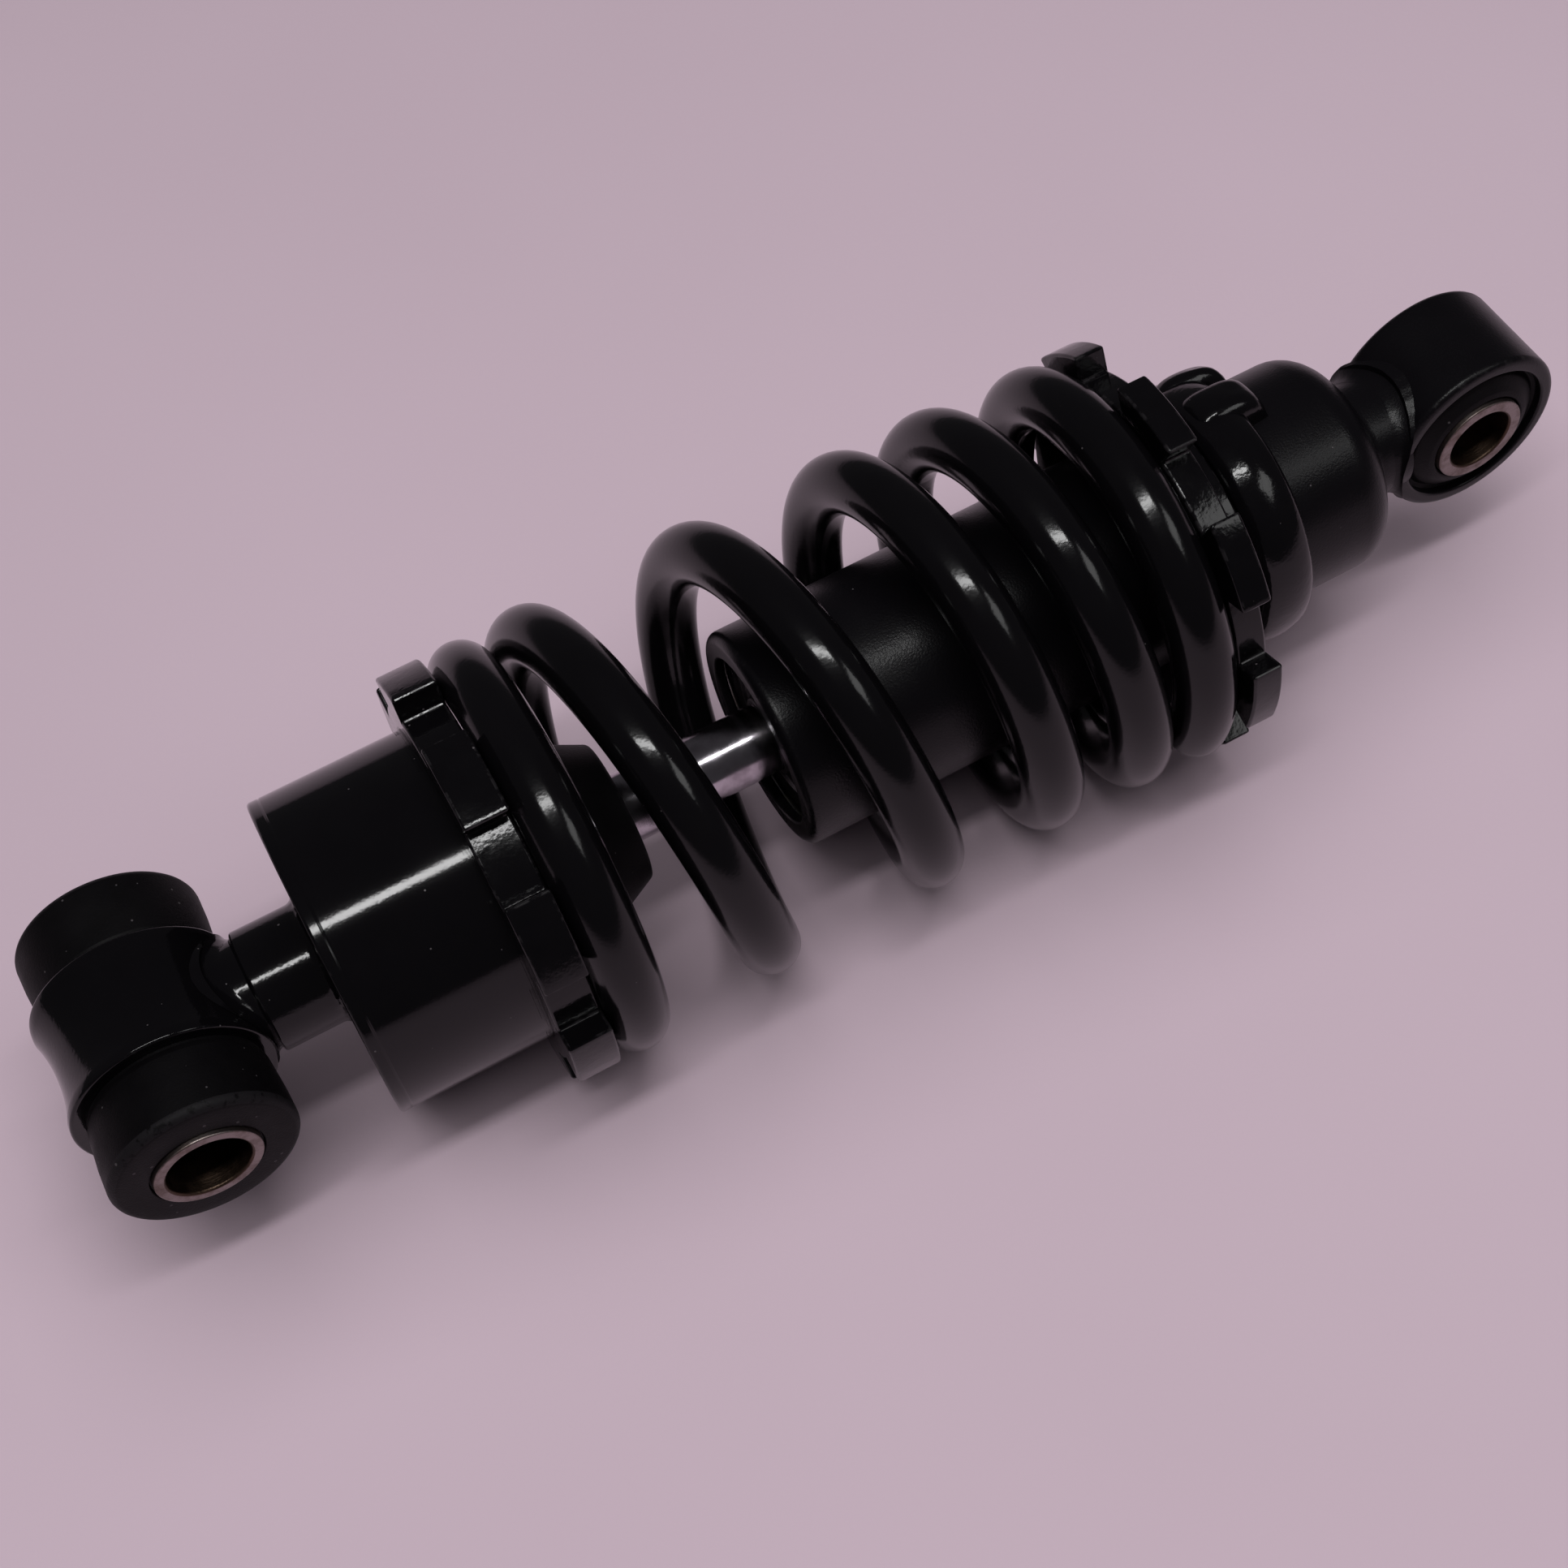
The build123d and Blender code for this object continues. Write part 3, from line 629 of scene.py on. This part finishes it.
def makeStem():
    look = stemLook
    start = eyeSpan("lower_eye_rubber")[2] - 0.5 + look["saddleGap"]
    inside, body, root = stemRadii()
    cupStart, end = span("spring_cup")[0], span("lower_stem")[1]
    corners = [
        (start, 0.0, 0.0), (start, root, 0.0), (look["shoulderAt"], root, 0.3),
        (look["shoulderAt"] + 0.4, body, look["edge"], 0.6), (cupStart, body, 0.0),
        (cupStart, inside, 0.0), (end, inside, 0.5), (end, 0.0, 0.0)]

    # the end beside the eye is hollowed to fit round it
    def hollow(along, radius, angle):
        if along > start + 0.01:
            return along, radius
        return math.sqrt(start ** 2 - min(radius * math.sin(angle), start) ** 2), radius
    bm = newMesh()
    turn(bm, roundOutline(corners), 160, wobble=hollow)
    return finishPiece(bm, "lowerStem", "lower_stem")


def makeStemWeld():
    bm = newMesh()
    half = eyeSpan("lower_eye_barrel")[1]
    addSaddleBead(bm, 0.0, 1, barrelRadius, half, stemRadii()[2], stemLook["bead"])
    return finishPiece(bm, "stemWeld", "stem_weld")


# a ring of weld round a stem, lying against a flat face
def flatWeld(name, node, face, side, stemRadius, size, ripples, seed):
    steps = 8
    outline = [(face - side * 0.4, stemRadius - 0.5, 0.0)]
    for k in range(steps + 1):
        share = math.pi / 2 * k / steps
        reach = stemRadius + size * (1 - math.cos(share))
        outline.append((face + side * size * (1 - math.sin(share)), reach, 0.0))
    outline.append((face - side * 0.4, stemRadius + size, 0.0))

    def ripple(along, radius, angle):
        wave = math.sin(angle * ripples + 1.5 * math.sin(2 * angle + seed))
        lump = noise.noise(Vector((math.cos(angle) * 2.5, math.sin(angle) * 2.5, seed)))
        grow = 1 + stemLook["flatRipple"] * wave + stemLook["flatLump"] * lump
        return face + (along - face) * grow, stemRadius + (radius - stemRadius) * grow
    bm = newMesh()
    turn(bm, outline, 240, wobble=ripple)
    return finishPiece(bm, name, node)


def makeCupWeld():
    cupStart = span("spring_cup")[0]
    return flatWeld("cupWeld", "cup_weld", cupStart, -1, stemRadii()[1], stemLook["cupBead"], 30, 1.0)


def makeNeck():
    start = span("upper_neck")[0] - 0.3
    radius = radiusOf("upper_neck") + stemLook["neckFill"]
    centre, half, eyeRadius = eyeSpan("upper_eye_ring")
    end = centre - eyeRadius + 3.0
    bm = newMesh()
    corners = [(start, 0.0, 0.0), (start, radius, 0.0), (end, radius, 0.0), (end, 0.0, 0.0)]
    turn(bm, roundOutline(corners), 128)
    addSaddleBead(bm, centre, -1, lambda across: eyeRadius, half, radius, stemLook["neckBead"])
    return finishPiece(bm, "upperNeck", "upper_neck")


def makeNeckWeld():
    face = span("damper_tube")[1]
    radius = radiusOf("upper_neck") + stemLook["neckFill"]
    return flatWeld("neckWeld", "neck_weld", face, 1, radius, stemLook["neckBead"], 26, 4.0)


makeSleeve("lowerEyeSleeve", "lower_eye_sleeve", "lower_eye")
makeSleeve("upperEyeSleeve", "upper_eye_sleeve", "upper_eye")
makeLowerRubber()
makeLowerBarrel()
makeUpperRing()
makeUpperRubber()
makeStem()
makeStemWeld()
makeCupWeld()
makeNeck()
makeNeckWeld()
print("eyes, stem and neck made")


cupLook = {
    "wall": 2.0, "floor": 3.0, "edge": 0.7, "mouth": 0.5, "lineAt": 1.9, "lineWidth": 0.5, "lineDepth": 0.12,
}


def makeCup():
    look = cupLook
    start, end, radius = span("spring_cup")
    stem = stemRadii()[0]
    inner = radius - look["wall"]
    line = start + look["lineAt"]
    corners = [
        (start, stem, 0.0), (start, radius, look["edge"], 1.0),
        (line, radius, 0.1), (line + look["lineWidth"] / 2, radius - look["lineDepth"], 0.1),
        (line + look["lineWidth"], radius, 0.1),
        (end, radius, look["mouth"], 0.5), (end, inner, look["mouth"]),
        (start + look["floor"], inner, 1.5), (start + look["floor"], stem, 0.0)]
    return turnedPiece("springCup", "spring_cup", corners, 256, material=cupFinish)


makeCup()


# both castellated rings
ringLook = {
    "slots": 8, "slotWidth": 13.2, "tooth": 5.5, "bevel": 0.55, "lowerTurn": 121.0, "upperTurn": 114.6,
    "lip": 3.0, "lipReach": 5.7, "fit": 0.05, "floorSteps": 10, "floorBulge": 0.6, "arcSteps": 14,
}


# outer radius of both rings
def ringRadius():
    return max(radiusOf("adjuster_ring"), radiusOf("lower_ring"))


# the slots' floors, and each tooth's foot and crown, as matching rows of points across the axis
def castellations(outer, firstSlot):
    look = ringLook
    half = look["slotWidth"] / 2
    floor = outer - look["tooth"]
    base = math.hypot(floor, half)
    baseCorner = math.degrees(math.atan2(half, floor))
    topCorner = math.degrees(math.asin(half / outer))
    pitch = 360 / look["slots"]
    slots, teeth = [], []
    for k in range(look["slots"]):
        middle = firstSlot + pitch * k
        turned = math.radians(middle)
        across = [half * (2 * i / look["floorSteps"] - 1) for i in range(look["floorSteps"] + 1)]
        slot = []
        for a in across:
            # thick paint leaves the floors of the slots a little round
            out = floor + look["floorBulge"] * (1 - (a / half) ** 2)
            slot.append((out * math.cos(turned) - a * math.sin(turned),
                         out * math.sin(turned) + a * math.cos(turned)))
        slots.append(slot)
        arcs = []
        for radius, corner in ((base, baseCorner), (outer, topCorner)):
            arc = []
            for i in range(look["arcSteps"] + 1):
                angle = math.radians(middle + corner + (pitch - 2 * corner) * i / look["arcSteps"])
                arc.append((radius * math.cos(angle), radius * math.sin(angle)))
            arcs.append(arc)
        teeth.append(arcs)
    return slots, teeth


# a slotted disc with a round bore, its edges softened by the paint; it goes first into an empty mesh
def addSlottedDisc(bm, start, end, outer, firstSlot, bore):
    slots, teeth = castellations(outer, firstSlot)
    body, crowns = [], []
    for slot, (foot, crown) in zip(slots, teeth):
        at = len(body)
        body += slot[:-1] + foot[:-1]
        crowns.append((at + len(slot) - 1, crown))
    count = len(body)

    def stand(x, points):
        return [bm.verts.new(Vector((x, y, z)) * mm) for y, z in points]
    inner = [(bore * y / math.hypot(y, z), bore * z / math.hypot(y, z)) for y, z in body]
    near, far = stand(start, body), stand(end, body)
    nearBore, farBore = stand(start, inner), stand(end, inner)
    faces = []
    onTooth = {(at + i) % count for at, crown in crowns for i in range(len(crown) - 1)}
    for i in range(count):
        n = (i + 1) % count
        faces.append(bm.faces.new((nearBore[i], nearBore[n], near[n], near[i])))
        faces.append(bm.faces.new((farBore[i], far[i], far[n], farBore[n])))
        faces.append(bm.faces.new((nearBore[i], farBore[i], farBore[n], nearBore[n])))
        if i not in onTooth:
            faces.append(bm.faces.new((near[i], near[n], far[n], far[i])))
    for at, crown in crowns:
        nearTop, farTop = stand(start, crown), stand(end, crown)
        last = len(crown) - 1
        for i in range(last):
            low, lowNext = (at + i) % count, (at + i + 1) % count
            faces.append(bm.faces.new((near[low], near[lowNext], nearTop[i + 1], nearTop[i])))
            faces.append(bm.faces.new((far[low], farTop[i], farTop[i + 1], far[lowNext])))
            faces.append(bm.faces.new((nearTop[i], nearTop[i + 1], farTop[i + 1], farTop[i])))
        for i in (0, last):
            low = (at + i) % count
            faces.append(bm.faces.new((near[low], nearTop[i], farTop[i], far[low])))
    bmesh.ops.recalc_face_normals(bm, faces=faces)
    crispAngle = math.radians(30)
    crisp = [edge for edge in bm.edges if len(edge.link_faces) == 2 and edge.calc_face_angle() > crispAngle]
    made = bmesh.ops.bevel(bm, geom=crisp, offset=ringLook["bevel"] * mm, segments=3, profile=0.5,
                           affect="EDGES", clamp_overlap=False)
    marks = bm.faces.layers.float["mark"]
    for face in made["faces"]:
        face[marks] = 1.0


def makeLowerRing():
    look = ringLook
    start, end = span("lower_ring")[:2]
    cup = radiusOf("spring_cup")
    bm = newMesh()
    addSlottedDisc(bm, start, end, ringRadius(), look["lowerTurn"], cup + look["fit"])
    # a lip covers the edge of the cup's mouth
    lip, lipStart, lipEnd = cup - look["lipReach"], end - look["lip"], end - 0.02
    corners = [
        (lipStart, lip, 0.4), (lipEnd, lip, 0.4), (lipEnd, cup + 1.0, 0.0), (lipStart, cup + 1.0, 0.0)]
    turn(bm, roundOutline(corners), 128)
    return finishPiece(bm, "lowerRing", "lower_ring", sharp=30.0)


# the preload ring's stepped sleeve
adjusterLook = {
    "sleeveWall": 2.9, "ringEnd": 190.4, "steps": 2, "stepHeight": 2.0, "stepAngle": 30.0, "repeats": 2,
    "firstEdge": 84.6, "corner": 0.35,
}


# how far the stepped sleeve is cut back at an angle
def cutBack(angle):
    look = adjusterLook
    turnBack = (look["firstEdge"] - angle) % (360 / look["repeats"])
    step = int(turnBack // look["stepAngle"])
    return look["stepHeight"] * (look["steps"] - step) if step < look["steps"] else 0.0


def makeAdjusterRing():
    look = adjusterLook
    start, end = span("adjuster_ring")[:2]
    tube = radiusOf("damper_tube")
    bore = tube + ringLook["fit"]
    sleeve = tube + look["sleeveWall"]
    bm = newMesh()
    addSlottedDisc(bm, start, look["ringEnd"], ringRadius(), ringLook["upperTurn"], bore)
    # angles come twice at each step, so that its side is upright
    angles = [k * 3.0 for k in range(120)]
    for n in range(look["repeats"]):
        for k in range(look["steps"] + 1):
            edge = look["firstEdge"] - k * look["stepAngle"] + n * 360 / look["repeats"]
            angles += [edge - 0.01, edge + 0.01]
    rings = []
    for angle in sorted(angle % 360 for angle in angles):
        tip = end - cutBack(angle)
        foot = look["ringEnd"] - 0.5
        profile = [(foot, bore), (tip, bore), (tip, sleeve - look["corner"]),
                   (tip - look["corner"], sleeve), (foot, sleeve)]
        y, z = math.cos(math.radians(angle)), math.sin(math.radians(angle))
        rings.append([bm.verts.new(Vector((x, r * y, r * z)) * mm) for x, r in profile])
    joinRings(bm, rings, [0.0, 0.0, 1.0, 0.0, 0.0])
    return finishPiece(bm, "preloadRing", "adjuster_ring", sharp=30.0)


# the bulged collar that the steps rest on, with its rounded lugs
collarLook = {
    "length": 10.2, "bulge": 4.6, "shoulder": 2.3, "bulgeSteps": 16, "lugHeight": 5.7, "lugOverhang": 4.6,
    "lugs": [(78.6, 27.0), (50.6, 15.0)], "repeats": 2, "squareness": 3.2, "taper": 0.1, "dish": 0.07,
    "noseAngle": 10.0, "noseHeight": 2.9, "tip": 192.93,
}


# a rounded lug standing on the tube, turn and width in degrees
def addLug(bm, start, end, tube, height, turnTo, width):
    look = collarLook
    across, along, buried = 22, 26, 0.3
    grid = []
    for i in range(across + 1):
        u = 2 * i / across - 1
        row = []
        for j in range(along + 1):
            v = 2 * j / along - 1
            narrow = 1 - look["taper"] * max(v, 0.0) ** 2
            square = [max(1 - abs(w) ** look["squareness"], 0.0) for w in (u, v)]
            rise = (square[0] * square[1]) ** 0.5
            dish = 1 - look["dish"] * math.exp(-((u * 1.6) ** 2 + ((v - 0.45) * 2.2) ** 2) * 2)
            angle = math.radians(turnTo + u * narrow * width / 2)
            radius = tube - buried + (height + buried) * rise * dish
            x = start + (end - start) * (v + 1) / 2
            row.append(bm.verts.new(Vector((x, radius * math.cos(angle), radius * math.sin(angle))) * mm))
        grid.append(row)
    for row, other in zip(grid, grid[1:]):
        for j in range(along):
            bm.faces.new((row[j], other[j], other[j + 1], row[j + 1]))
    rim = [row[0] for row in grid] + grid[-1][1:]
    rim += [row[-1] for row in grid[-2::-1]] + grid[0][-2:0:-1]
    bm.faces.new(rim)


def makeCamCollar():
    look = collarLook
    tube = radiusOf("damper_tube")
    end = span("cam_collar")[1] - look["lugOverhang"]
    start = end - look["length"]
    foot, steps = tube + 0.02, look["bulgeSteps"]
    corners = [(start, foot, 0.0), (start, tube + look["shoulder"], 0.5)]
    for k in range(1, steps):
        share = 2 * k / steps - 1
        rise = look["shoulder"] + (look["bulge"] - look["shoulder"]) * math.sqrt(1 - share ** 2)
        corners.append((start + look["length"] * k / steps, tube + rise, 0.0))
    corners += [(end, tube + look["shoulder"], 0.9), (end, foot, 0.0)]
    bm = newMesh()
    turn(bm, roundOutline(corners), 192)
    for n in range(look["repeats"]):
        around = n * 360 / look["repeats"]
        for turnTo, width in look["lugs"]:
            addLug(bm, start + 0.4, end + look["lugOverhang"], tube, look["lugHeight"],
                   turnTo + around, width)
        # the nose under the steps
        addLug(bm, look["tip"], start + 2.0, tube + 0.35, look["noseHeight"] - 0.35,
               look["lugs"][0][0] + around, look["noseAngle"])
    return finishPiece(bm, "camCollar", "cam_collar")


makeLowerRing()
makeAdjusterRing()
makeCamCollar()
print("cup, rings and collar made")


tubeLook = {"wall": 2.0, "lip": 4.5, "lipEdge": 0.5, "roll": 1.8, "shoulder": 7.0, "insideCorner": 4.0}


def makeTube():
    look = tubeLook
    start, end, radius = span("damper_tube")
    bore, lip = radius - look["wall"], radius - look["lip"]
    floor = end - 2 * look["wall"]
    corners = [
        (start, lip, look["lipEdge"], 0.6), (start, radius, look["roll"], 1.0),
        (end, radius, look["shoulder"]), (end, 0.0, 0.0), (floor, 0.0, 0.0),
        (floor, bore, look["insideCorner"]), (start + look["wall"], bore, 0.0),
        (start + look["wall"], lip, look["lipEdge"])]
    return turnedPiece("damperTube", "damper_tube", corners, 256, steps=9)


capLook = {"step": 0.5, "innerLip": 1.6, "slope": 2.1, "rim": 2.2, "rimStep": 0.4, "edge": 0.3}


def makeCap():
    look = capLook
    start, end, radius = span("dust_cap")
    hole = radiusOf("wiper_seal")
    edge, rim = look["edge"], radius - look["rim"]
    corners = [
        (end, hole, 0.0), (start + look["step"], hole, edge),
        (start + look["step"], hole + look["innerLip"], edge), (start, hole + look["slope"], edge),
        (start, rim, 0.4), (start + look["rimStep"], rim + 0.6, edge),
        (start + look["rimStep"], radius, 0.0), (end, radius, 0.0)]
    return turnedPiece("dustCap", "dust_cap", corners, 160)


wiperLook = {"fit": 0.05, "tip": 0.9, "tipEdge": 0.35, "neck": 1.3, "neckEdge": 0.4}


def makeWiper():
    look = wiperLook
    start, end, radius = span("wiper_seal")
    rod = radiusOf("piston_rod")
    inner = rod + look["fit"]
    corners = [
        (start, inner, 0.1), (start, rod + look["tip"], look["tipEdge"], 0.5),
        (start + 0.9, rod + look["neck"], look["neckEdge"]), (start + 1.2, radius - 0.4, 0.3),
        (start + 1.4, radius, 0.2), (end, radius, 0.0), (end, inner, 0.0)]
    return turnedPiece("wiperSeal", "wiper_seal", corners, 128)


rodLook = {"thread": 1.2, "shoulderEdge": 0.3, "startEdge": 0.6, "endEdge": 0.8}


def makeRod():
    look = rodLook
    start, end, radius = span("piston_rod")
    nutEnd, shoulder = span("lock_nut")[1], span("rebound_bumper")[1]
    tail, edge = radius - look["thread"], look["shoulderEdge"]
    corners = [
        (start, 0.0, 0.0), (start, tail, look["startEdge"]), (nutEnd, tail, 0.0), (nutEnd, radius, edge),
        (shoulder, radius, edge), (shoulder, tail, 0.0), (end, tail, look["endEdge"]), (end, 0.0, 0.0)]
    return turnedPiece("pistonRod", "piston_rod", corners, 128)


bumpLook = {
    "fit": 0.15, "foot": 0.5, "footLength": 3.0, "groove": 0.7, "grooveHalf": 1.2, "grooveEdge": 0.8,
    "noseLength": 6.6, "noseTaper": 3.2, "noseEdge": 1.0, "pressed": 0.85,
}


def makeBumpStop():
    look = bumpLook
    start, end, radius = span("bump_stop")
    rod = radiusOf("piston_rod")
    inner, nose = rod + look["fit"], end - look["noseLength"]
    middle, half, edge = (start + nose) / 2, look["grooveHalf"], look["grooveEdge"]
    corners = [
        (start, inner, 0.3), (start, radius - look["foot"], 0.8), (start + look["footLength"], radius, 1.5),
        (middle - half, radius, edge), (middle, radius - look["groove"], edge),
        (middle + half, radius, edge), (nose, radius, look["noseEdge"], 0.8),
        (end, radius - look["noseTaper"], look["noseEdge"], 0.8), (end, rod + 1.9, 0.6),
        (end - 2.0, inner, 0.4)]
    return turnedPiece("bumpStop", "bump_stop", corners, 160, steps=7)


makeTube()
makeCap()
makeWiper()
makeRod()
bumpStop = makeBumpStop()
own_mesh(bumpStop)
print("damper, rod and bump stop made")


# swell is the paint on the wire, and bow how far the middle leans across and up
springLook = {
    "wire": 5.3, "swell": 0.12, "closedRise": 11.0, "wideShare": 0.685,
    "wideTurns": 2.0, "tightTurns": 1.5, "endTurns": 0.5, "startTurn": 22.0, "splitTurn": 4.0,
    "bow": (1.3, 0.45), "bowPower": 0.6, "endRound": 1.2, "ringsPerTurn": 96, "sides": 40,
}


# where the pitch changes: the turns so far, and the places along the shock
def springStations():
    look = springLook
    start, end, _ = span("coil_spring")
    first, last = start + look["wire"], end - look["wire"]
    opened = last - first - 2 * look["closedRise"]
    turns = [0.0, look["endTurns"], look["endTurns"] + 0.5]
    turns.append(turns[-1] + look["wideTurns"])
    turns.append(turns[-1] + look["tightTurns"])
    turns += [turns[-1] + 0.5, turns[-1] + 0.5 + look["endTurns"]]
    wideEnd = first + look["closedRise"] + look["wideShare"] * opened
    places = [first, first, first + look["closedRise"], wideEnd, last - look["closedRise"], last, last]
    return turns, places


# smooth advance of the wire between the stations
def wirePlace(turnCount, turns, places):
    rises = [(b - a) / (v - u) for u, v, a, b in zip(turns, turns[1:], places, places[1:])]
    slopes = [0.0] + [2 * a * b / (a + b) if a * b > 0 else 0.0 for a, b in zip(rises, rises[1:])] + [0.0]
    k = max(i for i in range(len(turns) - 1) if turnCount >= turns[i] or i == 0)
    gap = turns[k + 1] - turns[k]
    u = (turnCount - turns[k]) / gap
    return ((2 * u ** 3 - 3 * u ** 2 + 1) * places[k] + (u ** 3 - 2 * u ** 2 + u) * gap * slopes[k]
            + (3 * u ** 2 - 2 * u ** 3) * places[k + 1] + (u ** 3 - u ** 2) * gap * slopes[k + 1])


# one length of the wire; returns the piece and the x of each vertex's wire centre
def makeWire(name, fromTurn, toTurn, roundStart, roundEnd):
    look = springLook
    turns, places = springStations()
    coilRadius = radiusOf("coil_spring") - look["wire"] + look["swell"]
    count = round((toTurn - fromTurn) * look["ringsPerTurn"])
    wire, edge = look["wire"] + look["swell"], look["endRound"]

    def centre(turnCount):
        angle = math.radians(look["startTurn"] + 360 * turnCount)
        x = wirePlace(min(max(turnCount, 0.0), turns[-1]), turns, places)
        share = (x - places[0]) / (places[-1] - places[0])
        bow = max(math.sin(math.pi * share), 0.0) ** look["bowPower"]
        y = coilRadius * math.cos(angle) + look["bow"][0] * bow
        return Vector((x, y, coilRadius * math.sin(angle) + look["bow"][1] * bow))
    stations = [(fromTurn + (toTurn - fromTurn) * k / count, wire) for k in range(count + 1)]
    # the cut ends are rounded off a little
    turnLength = 2 * math.pi * coilRadius
    for wanted, index, way in ((roundStart, 0, 1), (roundEnd, -1, -1)):
        if not wanted:
            continue
        tip = stations[index][0]
        stations = [s for s in stations if abs(s[0] - tip) * turnLength > edge]
        rounded = []
        for i in range(5):
            share = math.pi / 2 * i / 4
            back = edge * (1 - math.sin(share)) / turnLength
            rounded.append((tip + way * back, wire - edge * (1 - math.cos(share))))
        stations = sorted(rounded + stations)
    bm = newMesh()
    rings, centres = [], []
    for turnCount, radius in stations:
        middle = centre(turnCount)
        ahead = (centre(turnCount + 0.002) - centre(turnCount - 0.002)).normalized()
        out = Vector((0, middle.y, middle.z)).normalized()
        out = (out - ahead * out.dot(ahead)).normalized()
        side = ahead.cross(out)
        ring = []
        for i in range(look["sides"]):
            phase = 2 * math.pi * i / look["sides"]
            spoke = out * math.cos(phase) + side * math.sin(phase)
            ring.append(bm.verts.new((middle + spoke * radius) * mm))
            centres.append(middle.x * mm)
        rings.append(ring)
    joinRings(bm, rings, [0.0] * look["sides"], closed=False)
    bm.faces.new(rings[0])
    bm.faces.new(rings[-1][::-1])
    piece = finishPiece(bm, name, "coil_spring", sharp=50.0, ride=False)
    return piece, centres


# the blend's weights are set again, so that each slice of the wire moves as a whole and stays round
def moveBySlices(piece, centres, start, end):
    weights = []
    for x in centres:
        share = min(max((x - start) / (end - start), 0.0), 1.0)
        weights.append(share * share * (3 - 2 * share))
    piece.data.attributes["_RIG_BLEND"].data.foreach_set("value", weights)


def makeSpring():
    look = springLook
    turns, places = springStations()
    split = wirePlace(look["splitTurn"], turns, places) * mm
    lower, lowerCentres = makeWire("springOpenCoils", 0.0, look["splitTurn"], True, False)
    upper, upperCentres = makeWire("springCloseCoils", look["splitTurn"], turns[-1], False, True)
    bottom, top = (places[0] + 1.0) * mm, (places[-1] - 1.0) * mm
    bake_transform(lower, "damper", "slider", start=(split, 0, 0), end=(bottom, 0, 0))
    moveBySlices(lower, lowerCentres, split, bottom)
    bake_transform(upper, "preload_washer", "damper", start=(top, 0, 0), end=(split, 0, 0))
    moveBySlices(upper, upperCentres, top, split)


makeSpring()
print("spring made")


# floor, camera and sky
stage = {
    "floorSize": 16.0, "floorAt": 0.1, "paper": (0.52, 0.405, 0.475, 1), "crease": (0.49, 0.38, 0.445, 1),
    "creaseScale": 4.0, "grainScale": 900.0,
    "cameraAt": (0.03675, -0.2165, 0.3415), "cameraRight": (0.8774, -0.4701, -0.0960),
    "cameraUp": (0.4445, 0.7210, 0.5316), "lens": 55.7, "sensor": 36.0,
    "skyColour": (0.97, 0.93, 1.0, 1), "sky": 0.05,
}

# a narrow tube overhead, a window beyond the upper eye, and a soft wide light that isn't mirrored
lamps = {
    "keyLamp": {
        "at": (0.06, -0.2, 0.85), "size": (0.6, 0.075), "power": 2.9, "turned": (0, 0, 0),
        "mirrored": True},
    "windowLamp": {
        "at": (0.57, -0.38, 0.63), "size": (0.22, 0.3), "power": 0.5, "turned": (0, 40, -40),
        "mirrored": True},
    "fillLamp": {
        "at": (0.1, 0.05, 2.5), "size": (3.0, 3.0), "power": 58.0, "turned": (0, 0, 0),
        "mirrored": False},
}


def makeFloor():
    bm = bmesh.new()
    bmesh.ops.create_grid(bm, x_segments=8, y_segments=8, size=stage["floorSize"] / 2)
    mesh = bpy.data.meshes.new("paperFloor")
    bm.to_mesh(mesh)
    bm.free()
    floor = bpy.data.objects.new("paperFloor", mesh)
    floor.location = (stage["floorAt"], 0, cadBox[0].z)
    bpy.context.scene.collection.objects.link(floor)
    material, tree, shader, place = startMaterial("paper", {"Roughness": 0.9, "Specular IOR Level": 0.2})
    soft = ramp(tree, noiseOf(tree, place, stage["creaseScale"]), 0.3, 0.7)
    feed(tree, shader.inputs["Base Color"], mixColour(tree, soft, stage["paper"], stage["crease"]))
    bump(tree, shader, noiseOf(tree, place, stage["grainScale"]), 0.1, 0.0003)
    mesh.materials.append(material)


def makeLamp(name, look):
    data = bpy.data.lights.new(name, "AREA")
    data.shape = "RECTANGLE"
    data.size, data.size_y = look["size"]
    data.energy = look["power"]
    lamp = bpy.data.objects.new(name, data)
    lamp.location = look["at"]
    lamp.rotation_euler = [math.radians(angle) for angle in look["turned"]]
    lamp.visible_glossy = look["mirrored"]
    bpy.context.scene.collection.objects.link(lamp)


def makeCamera():
    right, up = Vector(stage["cameraRight"]), Vector(stage["cameraUp"])
    back = right.cross(up).normalized()
    up = back.cross(right)
    data = bpy.data.cameras.new("camera")
    data.lens, data.sensor_width = stage["lens"], stage["sensor"]
    data.clip_start, data.clip_end = 0.01, 20.0
    camera = bpy.data.objects.new("camera", data)
    turned = Matrix((right.normalized(), up.normalized(), back)).transposed().to_4x4()
    camera.matrix_world = Matrix.Translation(Vector(stage["cameraAt"])) @ turned
    bpy.context.scene.collection.objects.link(camera)
    bpy.context.scene.camera = camera


makeFloor()
for name, look in lamps.items():
    makeLamp(name, look)
world = bpy.data.worlds.new("studio")
world.use_nodes = True
background = world.node_tree.nodes["Background"]
background.inputs["Color"].default_value = stage["skyColour"]
background.inputs["Strength"].default_value = stage["sky"]
bpy.context.scene.world = world
makeCamera()
bpy.context.scene.view_settings.view_transform = "Standard"
print("floor, lamps and camera placed")
